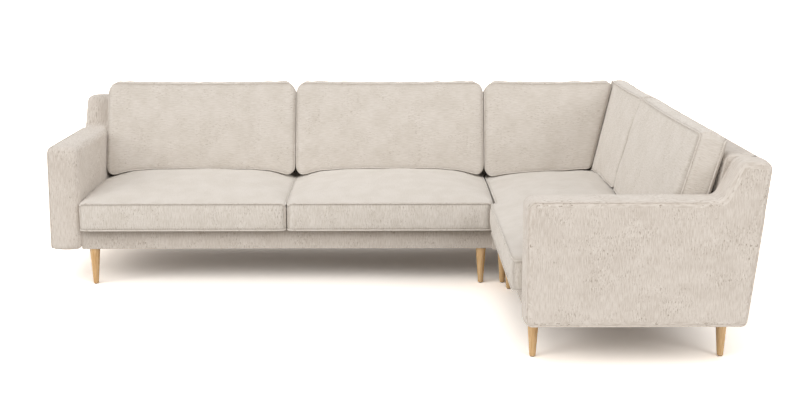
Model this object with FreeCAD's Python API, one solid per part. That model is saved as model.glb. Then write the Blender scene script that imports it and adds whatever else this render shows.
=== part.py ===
import FreeCAD, Part
import math
import os

from FreeCAD import Placement, Rotation, Vector

# Corner sofa in three upholstered sections, in millimetres.
# World frame: +X along the long run, +Y towards its back, +Z up, floor at Z = 0.
# Local frame of a section: x along the run, y into the depth from the front plane, z up.

# Plan sizes
ARM_WIDTH = 140.0
SEAT_WIDTH = 936.0
SEATS_IN_RUN = 2
RETURN_SEAT_WIDTH = 1000.0
DEPTH = 875.0
JOINT_INSET = 18.0

# Heights and leans of the upholstered body
LEG_HEIGHT = 170.0
BASE_HEIGHT = 98.0
BASE_RECESS = 20.0
ARM_TOP = 640.0
BACK_TOP = 780.0
BACK_TOP_THICKNESS = 130.0
OUTER_LEAN = 6.7
INNER_LEAN = 12.0
SCOOP_START_SETBACK = 180.0
SCOOP_TOP_SETBACK = 109.0
SCOOP_RADIUS = 36.0
ARM_FRONT_RADIUS = 38.0
ARM_FOOT_RADIUS = 26.0
BACK_TOP_RADIUS = 32.0
PANEL_EDGE_RADIUS = 25.0
PADDING = 16.0
BAND_PADDING = 8.0
BAND_TOP_WIDTH = 90.0
END_CLOTH = 4.0

# Seat cushions
SEAT_OVERHANG = 34.0
SEAT_BULGE = 9.0
SEAT_SEAM_HEIGHT = 124.0
SEAT_CROWN = 58.0
SEAT_EDGE_CROWN = 18.0
SEAT_CORNER_RADIUS = 30.0
SEAT_REAR_SHARE = 0.2
SEAT_DROP_SHARE = 0.4
SEAT_TUCK = 3.0
SEAT_FRONT_POWER = 0.75
SEAT_REAR_POWER = 0.35
SEAT_TOP_SHARES = (0.05, 0.2, 0.42, 0.68, 0.86, 0.96)
CROWN_RUN_IN = 300.0
ROUNDING_SHARES = (0.0, 0.07, 0.25, 0.6, 1.0)
ROUNDING_RUN_OUT = 40.0
SIDE_GAP = 1.0
REST_GAP = 0.3
CUSHION_GAP = 0.5
STEP_CLEARANCE = 3.0
STEP_RUN = 24.0

# Back cushions
BACK_LEAN = 16.0
BACK_FOOT_SETBACK = 358.0
BACK_FOOT_RISE = 41.7
BACK_CUSHION_TALL = 446.0
BACK_CUSHION_THICK = 112.0
BACK_FRONT_CROWN = 22.0
BACK_REAR_CROWN = 8.0
BACK_TOP_CROWN = 20.0
BACK_EDGE_SHARE = 0.35
BACK_CORNER_RADIUS = 46.0
BACK_GUSSET_RADIUS = 9.0
BACK_SPARE_FOOT = 60.0
CORNER_FACE_GAP = 20.0
CORNER_END_GAP = 6.0
CORNER_END_LEAN = 9.0

# Legs and their fixings
LEG_TOP_DIAMETER = 48.0
LEG_FOOT_DIAMETER = 25.0
LEG_FOOT_ROUND = 3.0
LEG_FRONT_INSET = 53.0
LEG_REAR_SETBACK = 110.0
LEG_ARM_INSET = 190.0
LEG_JOINT_INSET = 50.0
GLIDE_THICKNESS = 3.0
GLIDE_DIAMETER = 18.0
BOLT_DIAMETER = 8.0
BOLT_LENGTH = 66.0
BOLT_IN_LEG = 30.0

# Timber frame
DUST_CLOTH = 2.0
DECK_PAD = 10.0
RAIL_THICKNESS = 24.0
BLOCK_HALF_WIDTH = 38.0
BLOCK_DEPTH = 84.0
RIB_THICKNESS = 18.0
RIB_SPACING = 460.0
BACK_RAIL_HEIGHT = 60.0
BACK_RAIL_THICKNESS = 22.0
CORNER_POST_SETBACK = 113.0
CORNER_POST_WIDTH = 36.0
ARM_PANEL_THICKNESS = 12.0
ARM_POST_WIDTH = 60.0
ARM_TIMBER_CHAMFER = 14.0
ARM_BOLT_HEIGHT = 215.0
ARM_BOLT_FRONT_INSET = 240.0
ARM_BOLT_SETBACK = 335.0

# Seat springs
SPRING_WIRE = 4.0
SPRING_LOOP_RADIUS = 16.0
SPRING_HALF_WIDTH = 26.0
SPRING_SPACING = 156.0
SPRING_DROP = 12.0
CLIP_WIDTH = 14.0
CLIP_LENGTH = 22.0
CLIP_WALL = 3.0
CLIP_CLEARANCE = 0.1

# Connectors between the sections
LINK_THICKNESS = 3.0
LINK_LENGTH = 60.0
LINK_WIDTH = 44.0
LINK_TONGUE_WIDTH = 24.0
LINK_TONGUE_REACH = 34.0
LINK_CLEARANCE = 0.4
LINK_FRONT_INSET = 190.0
LINK_SETBACK = 285.0
SCREW_DIAMETER = 5.0
SCREW_LENGTH = 24.0
SCREW_EDGE = 10.0
CONTACT_LIMIT = 0.01

# Places worked out from the sizes above
BASE_TOP = LEG_HEIGHT + BASE_HEIGHT
FRAME_FLOOR = LEG_HEIGHT + DUST_CLOTH
FRAME_TOP = BASE_TOP - DECK_PAD
CAVITY_TOP = BACK_TOP - PADDING
RUN_LENGTH = ARM_WIDTH + SEATS_IN_RUN * SEAT_WIDTH
RETURN_LENGTH = RETURN_SEAT_WIDTH + ARM_WIDTH
TOTAL_LENGTH = RUN_LENGTH + JOINT_INSET + DEPTH
TOTAL_WIDTH = DEPTH + RETURN_LENGTH
LEFT_X = -TOTAL_LENGTH / 2
FRONT_Y = TOTAL_WIDTH / 2 - DEPTH
JOINT_X = LEFT_X + RUN_LENGTH
RETURN_X = JOINT_X + JOINT_INSET
UP = Vector(0, 0, 1)
RUN_PLACE = Placement(Vector(LEFT_X, FRONT_Y, 0), Rotation(UP, 0))
CORNER_PLACE = Placement(Vector(JOINT_X, FRONT_Y, 0), Rotation(UP, 0))
RETURN_PLACE = Placement(Vector(RETURN_X, FRONT_Y, 0), Rotation(UP, -90))

# Leaning lines of the back: the outer one is tangent to the rounding at its top
OUTER_ANGLE = math.radians(OUTER_LEAN)
INNER_ANGLE = math.radians(INNER_LEAN)
OUTER_TANGENT_Y = DEPTH - BACK_TOP_RADIUS + BACK_TOP_RADIUS * math.cos(OUTER_ANGLE)
OUTER_TANGENT_Z = BACK_TOP - BACK_TOP_RADIUS - BACK_TOP_RADIUS * math.sin(OUTER_ANGLE)
SCOOP_START = DEPTH - SCOOP_START_SETBACK
SCOOP_TOP = DEPTH - SCOOP_TOP_SETBACK
SCOOP_ANGLE = math.atan2(SCOOP_TOP - SCOOP_START, BACK_TOP - ARM_TOP)

solids = {}


def keep(name, shape, place):
    """Files a placed copy of a shape under a node's name."""
    moved = shape.copy()
    moved.Placement = place.multiply(moved.Placement)
    solids.setdefault(name, []).append(moved)


def drill(name, tool):
    """Cuts a tool out of every solid that it reaches among those that a node holds so far."""
    for index, shape in enumerate(solids[name]):
        if shape.distToShape(tool)[0] < CONTACT_LIMIT:
            solids[name][index] = shape.cut(tool)


def box(x0, x1, y0, y1, z0, z1):
    """Gives a box between two corners."""
    return Part.makeBox(x1 - x0, y1 - y0, z1 - z0, Vector(x0, y0, z0))


def rounded_wire(corners, x):
    """Gives a closed outline of (y, z, radius) corners at one x, each rounded by its radius."""
    count = len(corners)
    starts, middles, ends = [], [], []
    for i in range(count):
        here = Vector(x, corners[i][0], corners[i][1])
        before = Vector(x, corners[i - 1][0], corners[i - 1][1])
        after = Vector(x, corners[(i + 1) % count][0], corners[(i + 1) % count][1])
        radius = corners[i][2]
        towards_before = (before - here).normalize()
        towards_after = (after - here).normalize()
        half_angle = towards_before.getAngle(towards_after) / 2
        run = radius / math.tan(half_angle)
        bisector = (towards_before + towards_after).normalize()
        starts.append(here + towards_before * run)
        ends.append(here + towards_after * run)
        middles.append(here + bisector * (radius / math.sin(half_angle) - radius))
    edges = []
    for i in range(count):
        if corners[i][2] > 0:
            edges.append(Part.Arc(starts[i], middles[i], ends[i]).toShape())
        edges.append(Part.makeLine(ends[i], starts[(i + 1) % count]))
    return Part.Wire(edges)


def prism(corners, x0, x1):
    """Gives the solid of an outline carried from x0 to x1."""
    return Part.Face(rounded_wire(corners, x0)).extrude(Vector(x1 - x0, 0, 0))


def sharp(points):
    """Gives an outline without rounding."""
    return [(y, z, 0.0) for y, z in points]


def spread(low, high, spacing):
    """Gives places centred in equal steps between two limits, about a spacing apart."""
    count = max(1, round((high - low) / spacing))
    step = (high - low) / count
    return [low + step * (i + 0.5) for i in range(count)]


def outer_depth(z):
    """Gives the depth of the outer back face at a height."""
    return OUTER_TANGENT_Y + (z - OUTER_TANGENT_Z) * math.tan(OUTER_ANGLE)


def inner_depth(z):
    """Gives the depth of the inner back face at a height."""
    return DEPTH - BACK_TOP_THICKNESS + (z - BACK_TOP) * math.tan(INNER_ANGLE)


def cavity_front(z):
    """Gives the depth of the timber line behind the inner back face at a height."""
    return inner_depth(z) + PADDING / math.cos(INNER_ANGLE)


def cavity_rear(z):
    """Gives the depth of the timber line before the outer back face at a height."""
    return outer_depth(z) - PADDING / math.cos(OUTER_ANGLE)


def scoop_depth(z):
    """Gives the depth of the arm's timber line along its swept-up part at a height."""
    face = SCOOP_START + (z - ARM_TOP) * math.tan(SCOOP_ANGLE)
    return face + PADDING / math.cos(SCOOP_ANGLE)


FRAME_REAR = cavity_rear(LEG_HEIGHT)
DECK_REAR = cavity_front(FRAME_TOP)
BAND_INSIDE = BASE_RECESS + BAND_PADDING
BACK_FOOT_DEPTH = DEPTH - BACK_FOOT_SETBACK
SEAT_BOTTOM = BASE_TOP + REST_GAP
BACK_FOOT_HEIGHT = SEAT_BOTTOM + SEAT_SEAM_HEIGHT + BACK_FOOT_RISE
LEG_REAR_INSET = DEPTH - LEG_REAR_SETBACK
CORNER_POST_INSET = DEPTH - CORNER_POST_SETBACK
ARM_BOLT_PLACES = (ARM_BOLT_FRONT_INSET, DEPTH - ARM_BOLT_SETBACK)
LINK_PLACES = (LINK_FRONT_INSET, DEPTH - LINK_SETBACK)

# A seat spring has as many loops as fit between the front rail and the rail behind it
SPRING_PITCH = 2 * SPRING_LOOP_RADIUS
SPRING_ROOM = DECK_REAR - BAND_INSIDE - 2 * RAIL_THICKNESS - CLIP_LENGTH
SPRING_LOOPS = int(SPRING_ROOM / SPRING_PITCH)
SPRING_SPAN = SPRING_LOOPS * SPRING_PITCH


# Upholstered covers


def back_cover(x0, x1, wall_x):
    """Gives a padded back cover from x0 to x1, open below, with a cloth wall that starts at wall_x."""
    outline = [
        (inner_depth(BASE_TOP), BASE_TOP, 0.0),
        (inner_depth(BACK_TOP), BACK_TOP, BACK_TOP_RADIUS),
        (outer_depth(BACK_TOP), BACK_TOP, BACK_TOP_RADIUS),
        (outer_depth(LEG_HEIGHT), LEG_HEIGHT, 0.0),
        (FRAME_REAR, LEG_HEIGHT, 0.0),
        (cavity_rear(CAVITY_TOP), CAVITY_TOP, 0.0),
        (cavity_front(CAVITY_TOP), CAVITY_TOP, 0.0),
        (cavity_front(BASE_TOP), BASE_TOP, 0.0),
    ]
    wall = sharp([
        (DECK_REAR, FRAME_TOP),
        (cavity_front(CAVITY_TOP), CAVITY_TOP),
        (cavity_rear(CAVITY_TOP), CAVITY_TOP),
        (FRAME_REAR, LEG_HEIGHT),
        (FRAME_REAR - RAIL_THICKNESS, LEG_HEIGHT),
        (FRAME_REAR - RAIL_THICKNESS, FRAME_TOP),
    ])
    cover = prism(outline, x0, x1)
    return cover.fuse(prism(wall, wall_x, wall_x + END_CLOTH)).removeSplitter()


def rib_outline():
    """Gives the outline of the space inside a back cover, above the seat frame."""
    return sharp([
        (cavity_front(FRAME_TOP), FRAME_TOP),
        (cavity_front(CAVITY_TOP), CAVITY_TOP),
        (cavity_rear(CAVITY_TOP), CAVITY_TOP),
        (cavity_rear(FRAME_TOP), FRAME_TOP),
    ])


def closed_beside_arm(cover, wall_x):
    """Gives a back cover with a second cloth wall, which closes its end where the arm's top is low."""
    return cover.fuse(prism(rib_outline(), wall_x, wall_x + END_CLOTH)).removeSplitter()


def arm_inner_outline(floor):
    """Gives the outline of the space inside an arm cover, from a floor height up."""
    shoulder = ARM_TOP - PADDING
    chamfer_top = floor + ARM_TIMBER_CHAMFER
    return sharp([
        (PADDING + ARM_TIMBER_CHAMFER, floor),
        (PADDING, chamfer_top),
        (PADDING, shoulder),
        (scoop_depth(shoulder), shoulder),
        (scoop_depth(CAVITY_TOP), CAVITY_TOP),
        (cavity_rear(CAVITY_TOP), CAVITY_TOP),
        (cavity_rear(chamfer_top), chamfer_top),
        (cavity_rear(floor) - ARM_TIMBER_CHAMFER, floor),
    ])


def arm_cover(x0):
    """Gives the padded cover of an arm that starts at x0: its top sweeps up into the back."""
    outline = [
        (0.0, LEG_HEIGHT, ARM_FOOT_RADIUS),
        (0.0, ARM_TOP, ARM_FRONT_RADIUS),
        (SCOOP_START, ARM_TOP, SCOOP_RADIUS),
        (SCOOP_TOP, BACK_TOP, BACK_TOP_RADIUS),
        (outer_depth(BACK_TOP), BACK_TOP, BACK_TOP_RADIUS),
        (outer_depth(LEG_HEIGHT), LEG_HEIGHT, ARM_FOOT_RADIUS),
    ]
    body = prism(outline, x0, x0 + ARM_WIDTH)
    rims = [edge for edge in body.Edges if edge.BoundBox.XLength < ARM_WIDTH / 2]
    body = body.makeFillet(PANEL_EDGE_RADIUS, rims)
    space = arm_inner_outline(LEG_HEIGHT - DUST_CLOTH)
    return body.cut(prism(space, x0 + PADDING, x0 + ARM_WIDTH - PADDING))


def base_cover(x0, x1, wall_x):
    """Gives the padded band along a base's front, with a cloth wall that starts at wall_x."""
    outline = [
        (BASE_RECESS, LEG_HEIGHT, BAND_PADDING / 2),
        (BASE_RECESS, BASE_TOP, BAND_PADDING),
        (BASE_RECESS + BAND_TOP_WIDTH, BASE_TOP, 0.0),
        (BASE_RECESS + BAND_TOP_WIDTH, FRAME_TOP, 0.0),
        (BAND_INSIDE, FRAME_TOP, 0.0),
        (BAND_INSIDE, LEG_HEIGHT, 0.0),
    ]
    wall = box(wall_x, wall_x + END_CLOTH, BAND_INSIDE, FRAME_REAR - RAIL_THICKNESS, LEG_HEIGHT, FRAME_TOP)
    return prism(outline, x0, x1).fuse(wall).removeSplitter()


def corner_base_cover():
    """Gives the cloth on the corner's two joint sides, with its strips along the deck's edges."""
    far_x = JOINT_INSET + FRAME_REAR
    side = box(0, END_CLOTH, 0, FRAME_REAR - RAIL_THICKNESS, LEG_HEIGHT, FRAME_TOP)
    front = box(0, far_x - RAIL_THICKNESS, 0, END_CLOTH, LEG_HEIGHT, FRAME_TOP)
    side_strip = box(0, BAND_TOP_WIDTH, 0, DECK_REAR, FRAME_TOP, BASE_TOP)
    front_strip = box(0, JOINT_INSET + DECK_REAR, 0, BAND_TOP_WIDTH, FRAME_TOP, BASE_TOP)
    return side.fuse([front, side_strip, front_strip]).removeSplitter()


def mitred(cover, along_run):
    """Keeps the side of a cover that lies on its own side of the corner's diagonal."""
    reach = TOTAL_LENGTH
    low = Vector(RETURN_X - reach, FRONT_Y - reach, 0)
    high = Vector(RETURN_X + reach, FRONT_Y + reach, 0)
    third = Vector(low.x, high.y, 0) if along_run else Vector(high.x, low.y, 0)
    wedge = Part.Face(Part.makePolygon([low, high, third, low])).extrude(UP * 2 * BACK_TOP)
    return cover.common(wedge)


# Timber, springs and cloth inside


def leg_station(name, place, x, y, block_x, block_y):
    """Files a turned leg with its glide, its bolt and the corner block that takes the bolt."""
    foot = Vector(x, y, GLIDE_THICKNESS)
    leg = Part.makeCone(LEG_FOOT_DIAMETER / 2, LEG_TOP_DIAMETER / 2, FRAME_FLOOR - GLIDE_THICKNESS, foot)
    rim = [edge for edge in leg.Edges if edge.BoundBox.ZMax < GLIDE_THICKNESS + LEG_FOOT_ROUND]
    leg = leg.makeFillet(LEG_FOOT_ROUND, rim)
    bolt = Part.makeCylinder(BOLT_DIAMETER / 2, BOLT_LENGTH, Vector(x, y, FRAME_FLOOR - BOLT_IN_LEG))
    glide = Part.makeCylinder(GLIDE_DIAMETER / 2, GLIDE_THICKNESS, Vector(x, y, 0))
    block = box(block_x[0], block_x[1], block_y[0], block_y[1], FRAME_FLOOR, FRAME_TOP)
    keep("legs_" + name, leg.cut(bolt), place)
    keep("leg_glides", glide, place)
    keep("leg_bolts", bolt, place)
    keep(name + "_leg_blocks", block.cut(bolt), place)
    return Part.makeCylinder(LEG_TOP_DIAMETER / 2, DUST_CLOTH, Vector(x, y, LEG_HEIGHT))


def seat_spring():
    """Gives one wavy seat spring along +Y, from the middle of its first cross bar at the origin."""
    reach = SPRING_HALF_WIDTH
    edges = [Part.makeLine(Vector(-reach, 0, 0), Vector(reach, 0, 0))]
    side = 1.0
    for loop in range(SPRING_LOOPS):
        start = Vector(side * reach, loop * SPRING_PITCH, 0)
        middle = start + Vector(side * SPRING_LOOP_RADIUS, SPRING_LOOP_RADIUS, 0)
        end = start + Vector(0, SPRING_PITCH, 0)
        edges.append(Part.Arc(start, middle, end).toShape())
        side = -side
        edges.append(Part.makeLine(end, Vector(side * reach, end.y, 0)))
    ring = Part.Wire([Part.makeCircle(SPRING_WIRE / 2, Vector(-reach, 0, 0), Vector(1, 0, 0))])
    return Part.Wire(edges).makePipeShell([ring], True, False)


def spring_clip():
    """Gives a clip that holds a cross bar, centred on the bar's middle and bored along X."""
    bore_radius = SPRING_WIRE / 2 + CLIP_CLEARANCE
    half_height = bore_radius + CLIP_WALL
    half_width = CLIP_WIDTH / 2
    body = box(-half_width, half_width, -CLIP_LENGTH / 2, CLIP_LENGTH / 2, -half_height, half_height)
    return body.cut(Part.makeCylinder(bore_radius, CLIP_WIDTH, Vector(-half_width, 0, 0), Vector(1, 0, 0)))


SEAT_SPRING = seat_spring()
SPRING_CLIP = spring_clip()


def base_frame(name, place, x0, x1, y0, leg_x, middle_rails, spring_limit):
    """Files the timber, springs, dust cover and legs of a base.

    The timber runs from x0 to x1 and from y0 to the rear; leg_x holds the legs' two places along x.
    Springs are spread from x0 to spring_limit, between the middle rails.
    """
    y1 = FRAME_REAR
    first_block = (x0, leg_x[0] + BLOCK_HALF_WIDTH)
    last_block = (leg_x[1] - BLOCK_HALF_WIDTH, x1)
    front_block = (y0, y0 + BLOCK_DEPTH)
    rear_block = (y1 - BLOCK_DEPTH, y1)
    dust = box(x0, x1, y0, y1, LEG_HEIGHT, FRAME_FLOOR)
    for x, block_x in zip(leg_x, (first_block, last_block)):
        for y, block_y in ((LEG_FRONT_INSET, front_block), (LEG_REAR_INSET, rear_block)):
            dust = dust.cut(leg_station(name, place, x, y, block_x, block_y))
    keep(name + "_dust_cover", dust, place)
    across = (first_block[1], last_block[0])
    keep(name + "_long_rails", box(*across, y0, y0 + RAIL_THICKNESS, FRAME_FLOOR, FRAME_TOP), place)
    keep(name + "_long_rails", box(*across, y1 - RAIL_THICKNESS, y1, FRAME_FLOOR, FRAME_TOP), place)
    for low in (x0, x1 - RAIL_THICKNESS):
        rail = box(low, low + RAIL_THICKNESS, front_block[1], rear_block[0], FRAME_FLOOR, FRAME_TOP)
        keep(name + "_side_rails", rail, place)
    first_bar = y0 + RAIL_THICKNESS + CLIP_LENGTH / 2
    last_bar = first_bar + SPRING_SPAN
    spring_rail = last_bar + CLIP_LENGTH / 2
    inside = (x0 + RAIL_THICKNESS, x1 - RAIL_THICKNESS)
    rail = box(*inside, spring_rail, spring_rail + RAIL_THICKNESS, FRAME_FLOOR, FRAME_TOP)
    keep("spring_rails", rail, place)
    zones = [first_block[1]] + list(middle_rails) + [min(spring_limit, last_block[0])]
    for x in middle_rails:
        half = RAIL_THICKNESS / 2
        rail = box(x - half, x + half, y0 + RAIL_THICKNESS, spring_rail, FRAME_FLOOR, FRAME_TOP)
        keep(name + "_middle_rails", rail, place)
    height = FRAME_TOP - SPRING_DROP
    for low, high in zip(zones, zones[1:]):
        for x in spread(low, high, SPRING_SPACING):
            keep(name + "_springs", SEAT_SPRING, place * Placement(Vector(x, first_bar, height), Rotation()))
            for y in (first_bar, last_bar):
                keep("spring_clips", SPRING_CLIP, place * Placement(Vector(x, y, height), Rotation()))


def back_frame(name, place, x0, x1):
    """Files ribs and rails of a back from x0 to x1, with a rib at each end."""
    rib = rib_outline()
    steps = max(1, round((x1 - x0) / RIB_SPACING))
    pitch = (x1 - x0 - RIB_THICKNESS) / steps
    stations = [x0 + pitch * i for i in range(steps + 1)]
    run = BACK_RAIL_THICKNESS / math.cos(INNER_ANGLE)
    for x in stations:
        keep(name + "_back_ribs", prism(rib, x, x + RIB_THICKNESS), place)
    for x in stations[:-1]:
        for foot in (BASE_TOP, CAVITY_TOP - BACK_RAIL_HEIGHT):
            head = foot + BACK_RAIL_HEIGHT
            rail = sharp([
                (cavity_front(foot), foot),
                (cavity_front(head), head),
                (cavity_front(head) + run, head),
                (cavity_front(foot) + run, foot),
            ])
            keep(name + "_back_rails", prism(rail, x + RIB_THICKNESS, x + pitch), place)


def arm_frame(name, place, x0, side_rail_x):
    """Files the ply panels, posts, rails, cloth and bolts of an arm that starts at x0."""
    inside0 = x0 + PADDING
    inside1 = x0 + ARM_WIDTH - PADDING
    gap = (inside0 + ARM_PANEL_THICKNESS, inside1 - ARM_PANEL_THICKNESS)
    outline = arm_inner_outline(FRAME_FLOOR)
    for foot in (inside0, gap[1]):
        keep(name + "_arm_panels", prism(outline, foot, foot + ARM_PANEL_THICKNESS), place)
    floor = FRAME_FLOOR + ARM_TIMBER_CHAMFER
    shoulder = ARM_TOP - PADDING
    front_post = (PADDING, PADDING + ARM_POST_WIDTH)
    rear_post = (FRAME_REAR - ARM_POST_WIDTH, FRAME_REAR)
    for y in (front_post, rear_post):
        keep(name + "_arm_posts", box(*gap, *y, floor, shoulder), place)
    for z in (floor, shoulder - RAIL_THICKNESS):
        rail = box(*gap, front_post[1], rear_post[0], z, z + RAIL_THICKNESS)
        keep(name + "_arm_rails", rail, place)
    cloth_rear = FRAME_REAR - ARM_TIMBER_CHAMFER
    cloth = box(inside0, inside1, PADDING + ARM_TIMBER_CHAMFER, cloth_rear, LEG_HEIGHT, FRAME_FLOOR)
    keep(name + "_dust_cover", cloth, place)
    bolt_x = sorted((side_rail_x, gap[0] if side_rail_x < x0 else gap[1]))
    for y in ARM_BOLT_PLACES:
        start = Vector(bolt_x[0], y, ARM_BOLT_HEIGHT)
        bolt = Part.makeCylinder(BOLT_DIAMETER / 2, bolt_x[1] - bolt_x[0], start, Vector(1, 0, 0))
        keep("arm_bolts", bolt, place)
        for node in ("_arm_cover", "_arm_panels", "_side_rails"):
            drill(name + node, solids["arm_bolts"][-1])


def deck(name, place, x0, x1, y0):
    """Files the padded deck that a seat cushion lies on."""
    keep(name + "_deck", box(x0, x1, y0, DECK_REAR, FRAME_TOP, BASE_TOP), place)


def section_link(place, nodes):
    """Files the tongue plate and the socket plate that hold two sections together.

    The place puts the joint plane at x = 0 with the tongue's section on the minus side.
    """
    top = LEG_HEIGHT
    half = LINK_WIDTH / 2
    tongue_half = LINK_TONGUE_WIDTH / 2
    slot_half = tongue_half + LINK_CLEARANCE
    slot_end = LINK_TONGUE_REACH + LINK_CLEARANCE
    plate = box(-LINK_LENGTH, -END_CLOTH, -half, half, top - LINK_THICKNESS, top)
    tongue = box(-END_CLOTH, LINK_TONGUE_REACH, -tongue_half, tongue_half, top - LINK_THICKNESS, top)
    hook = plate.fuse(tongue).removeSplitter()
    socket_floor = top - 2 * LINK_THICKNESS - LINK_CLEARANCE
    socket = box(END_CLOTH, LINK_LENGTH, -half, half, socket_floor, top)
    socket = socket.cut(box(0, slot_end, -slot_half, slot_half, socket_floor + LINK_THICKNESS, top))
    edge = half - SCREW_EDGE / 2
    rail_middle = END_CLOTH + RAIL_THICKNESS / 2
    for y in (-edge, edge):
        for x, foot in ((-rail_middle, top - LINK_THICKNESS), (rail_middle, socket_floor)):
            screw = Part.makeCylinder(SCREW_DIAMETER / 2, SCREW_LENGTH, Vector(x, y, foot))
            hook = hook.cut(screw)
            socket = socket.cut(screw)
            keep("link_screws", screw, place)
            for node in nodes:
                drill(node, solids["link_screws"][-1])
    keep("link_tongues", hook, place)
    keep("link_sockets", socket, place)


# Cushions


def rounding(distance, radius):
    """Gives how far a rounded edge is drawn in at a distance from its end."""
    left = max(0.0, radius - distance)
    return radius - math.sqrt(radius ** 2 - left ** 2)


def crown_share(distance, edge_share):
    """Gives the share of the full crown at a distance from the nearer end."""
    turn = min(1.0, distance / CROWN_RUN_IN) * math.pi / 2
    return edge_share + (1 - edge_share) * math.sin(turn)


def seat_rise(share):
    """Gives the share of a seat's crown at a share of its depth: quick in front, full to the rear."""
    peak = SEAT_FRONT_POWER / (SEAT_FRONT_POWER + SEAT_REAR_POWER)
    full = peak ** SEAT_FRONT_POWER * (1 - peak) ** SEAT_REAR_POWER
    return share ** SEAT_FRONT_POWER * (1 - share) ** SEAT_REAR_POWER / full


def stations_along(x0, x1, radius, extra=()):
    """Gives section places along a cushion, closest where its ends are rounded."""
    near = [radius * share for share in ROUNDING_SHARES]
    near += [radius + ROUNDING_RUN_OUT, CROWN_RUN_IN / 2, CROWN_RUN_IN]
    half = (x1 - x0) / 2
    near = [distance for distance in near if distance < half]
    starts = [x0 + distance for distance in near]
    ends = [x1 - distance for distance in near]
    return sorted(starts + ends + [x0 + half] + list(extra))


def seat_cushion(x0, x1, rear, front_at, extra=()):
    """Gives a crowned seat cushion; front_at gives the depth of its front seam at an x."""
    sections = []
    for x in stations_along(x0, x1, SEAT_CORNER_RADIUS, extra):
        distance = min(x - x0, x1 - x)
        drawn = rounding(distance, SEAT_CORNER_RADIUS)
        front = front_at(x) + drawn
        back = rear - drawn * SEAT_REAR_SHARE
        seam = SEAT_BOTTOM + SEAT_SEAM_HEIGHT - drawn * SEAT_DROP_SHARE
        crown = SEAT_CROWN * crown_share(distance, SEAT_EDGE_CROWN / SEAT_CROWN)
        foot = SEAT_BOTTOM + drawn * SEAT_REAR_SHARE
        foot_front = Vector(x, front + SEAT_TUCK, foot)
        foot_back = Vector(x, back, foot)
        seam_back = Vector(x, back, seam)
        seam_front = Vector(x, front, seam)
        bulge = Vector(x, front - SEAT_BULGE, (foot + seam) / 2)
        top = [Vector(x, front + (back - front) * share, seam + crown * seat_rise(share))
               for share in reversed(SEAT_TOP_SHARES)]
        top_line = Part.BSplineCurve()
        top_line.interpolate([seam_back, *top, seam_front])
        sections.append(Part.Wire([
            Part.makeLine(foot_front, foot_back),
            Part.makeLine(foot_back, seam_back),
            top_line.toShape(),
            Part.Arc(seam_front, bulge, foot_front).toShape(),
        ]))
    return Part.makeLoft(sections, True, True)


def back_cushion(x0, x1, start_slope, end_slope):
    """Gives a crowned, leaning back cushion whose ends lean sideways by the given slopes."""
    lean = math.radians(BACK_LEAN)
    sections = []
    for x in stations_along(x0, x1, BACK_CORNER_RADIUS):
        distance = min(x - x0, x1 - x)
        slope = start_slope + (end_slope - start_slope) * (x - x0) / (x1 - x0)
        pinch = rounding(distance, BACK_GUSSET_RADIUS)
        top = BACK_CUSHION_TALL - rounding(distance, BACK_CORNER_RADIUS)
        share = crown_share(distance, BACK_EDGE_SHARE)
        front = pinch
        rear = BACK_CUSHION_THICK - pinch
        middle = (top - BACK_SPARE_FOOT) / 2

        def at(across, along):
            """Gives the point a distance across the cushion's thickness and along its lean."""
            y = BACK_FOOT_DEPTH + across * math.cos(lean) + along * math.sin(lean)
            rise = along * math.cos(lean) - across * math.sin(lean)
            return Vector(x + rise * slope, y, BACK_FOOT_HEIGHT + rise)

        foot_front = at(front, -BACK_SPARE_FOOT)
        foot_rear = at(rear, -BACK_SPARE_FOOT)
        top_rear = at(rear, top)
        top_front = at(front, top)
        sections.append(Part.Wire([
            Part.makeLine(foot_front, foot_rear),
            Part.Arc(foot_rear, at(rear + BACK_REAR_CROWN * share, middle), top_rear).toShape(),
            Part.Arc(top_rear, at((front + rear) / 2, top + BACK_TOP_CROWN), top_front).toShape(),
            Part.Arc(top_front, at(front - BACK_FRONT_CROWN * share, middle), foot_front).toShape(),
        ]))
    return Part.makeLoft(sections, True, True)


def file_back_cushion(name, raw, place, seat_name):
    """Files a back cushion after shaping its foot to the seat cushion that it stands on."""
    seat = solids[seat_name][0].copy()
    seat.translate(UP * CUSHION_GAP)
    keep(name, raw, place)
    cut = solids[name][0].cut(seat)
    solids[name] = [max(cut.Solids, key=lambda solid: solid.Volume)]


# Left section: two seats and an arm

SEAT_REAR = inner_depth(BASE_TOP) - SIDE_GAP
LEFT_JOINT = RUN_LENGTH - END_CLOTH
LEFT_MIDDLES = [ARM_WIDTH + SEAT_WIDTH * i for i in range(1, SEATS_IN_RUN)]
keep("left_arm_cover", arm_cover(0.0), RUN_PLACE)
keep("left_base_cover", base_cover(ARM_WIDTH, RUN_LENGTH, LEFT_JOINT), RUN_PLACE)
left_back = back_cover(ARM_WIDTH, RUN_LENGTH, LEFT_JOINT)
keep("left_back_cover", closed_beside_arm(left_back, ARM_WIDTH), RUN_PLACE)
base_frame("left", RUN_PLACE, ARM_WIDTH, LEFT_JOINT, BAND_INSIDE,
           (LEG_ARM_INSET, RUN_LENGTH - LEG_JOINT_INSET), LEFT_MIDDLES, LEFT_JOINT - RAIL_THICKNESS)
back_frame("left", RUN_PLACE, ARM_WIDTH + END_CLOTH, LEFT_JOINT)
arm_frame("left", RUN_PLACE, 0.0, ARM_WIDTH + RAIL_THICKNESS)
deck("left", RUN_PLACE, ARM_WIDTH, RUN_LENGTH, BASE_RECESS + BAND_TOP_WIDTH)

# Right section: one seat and an arm

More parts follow.
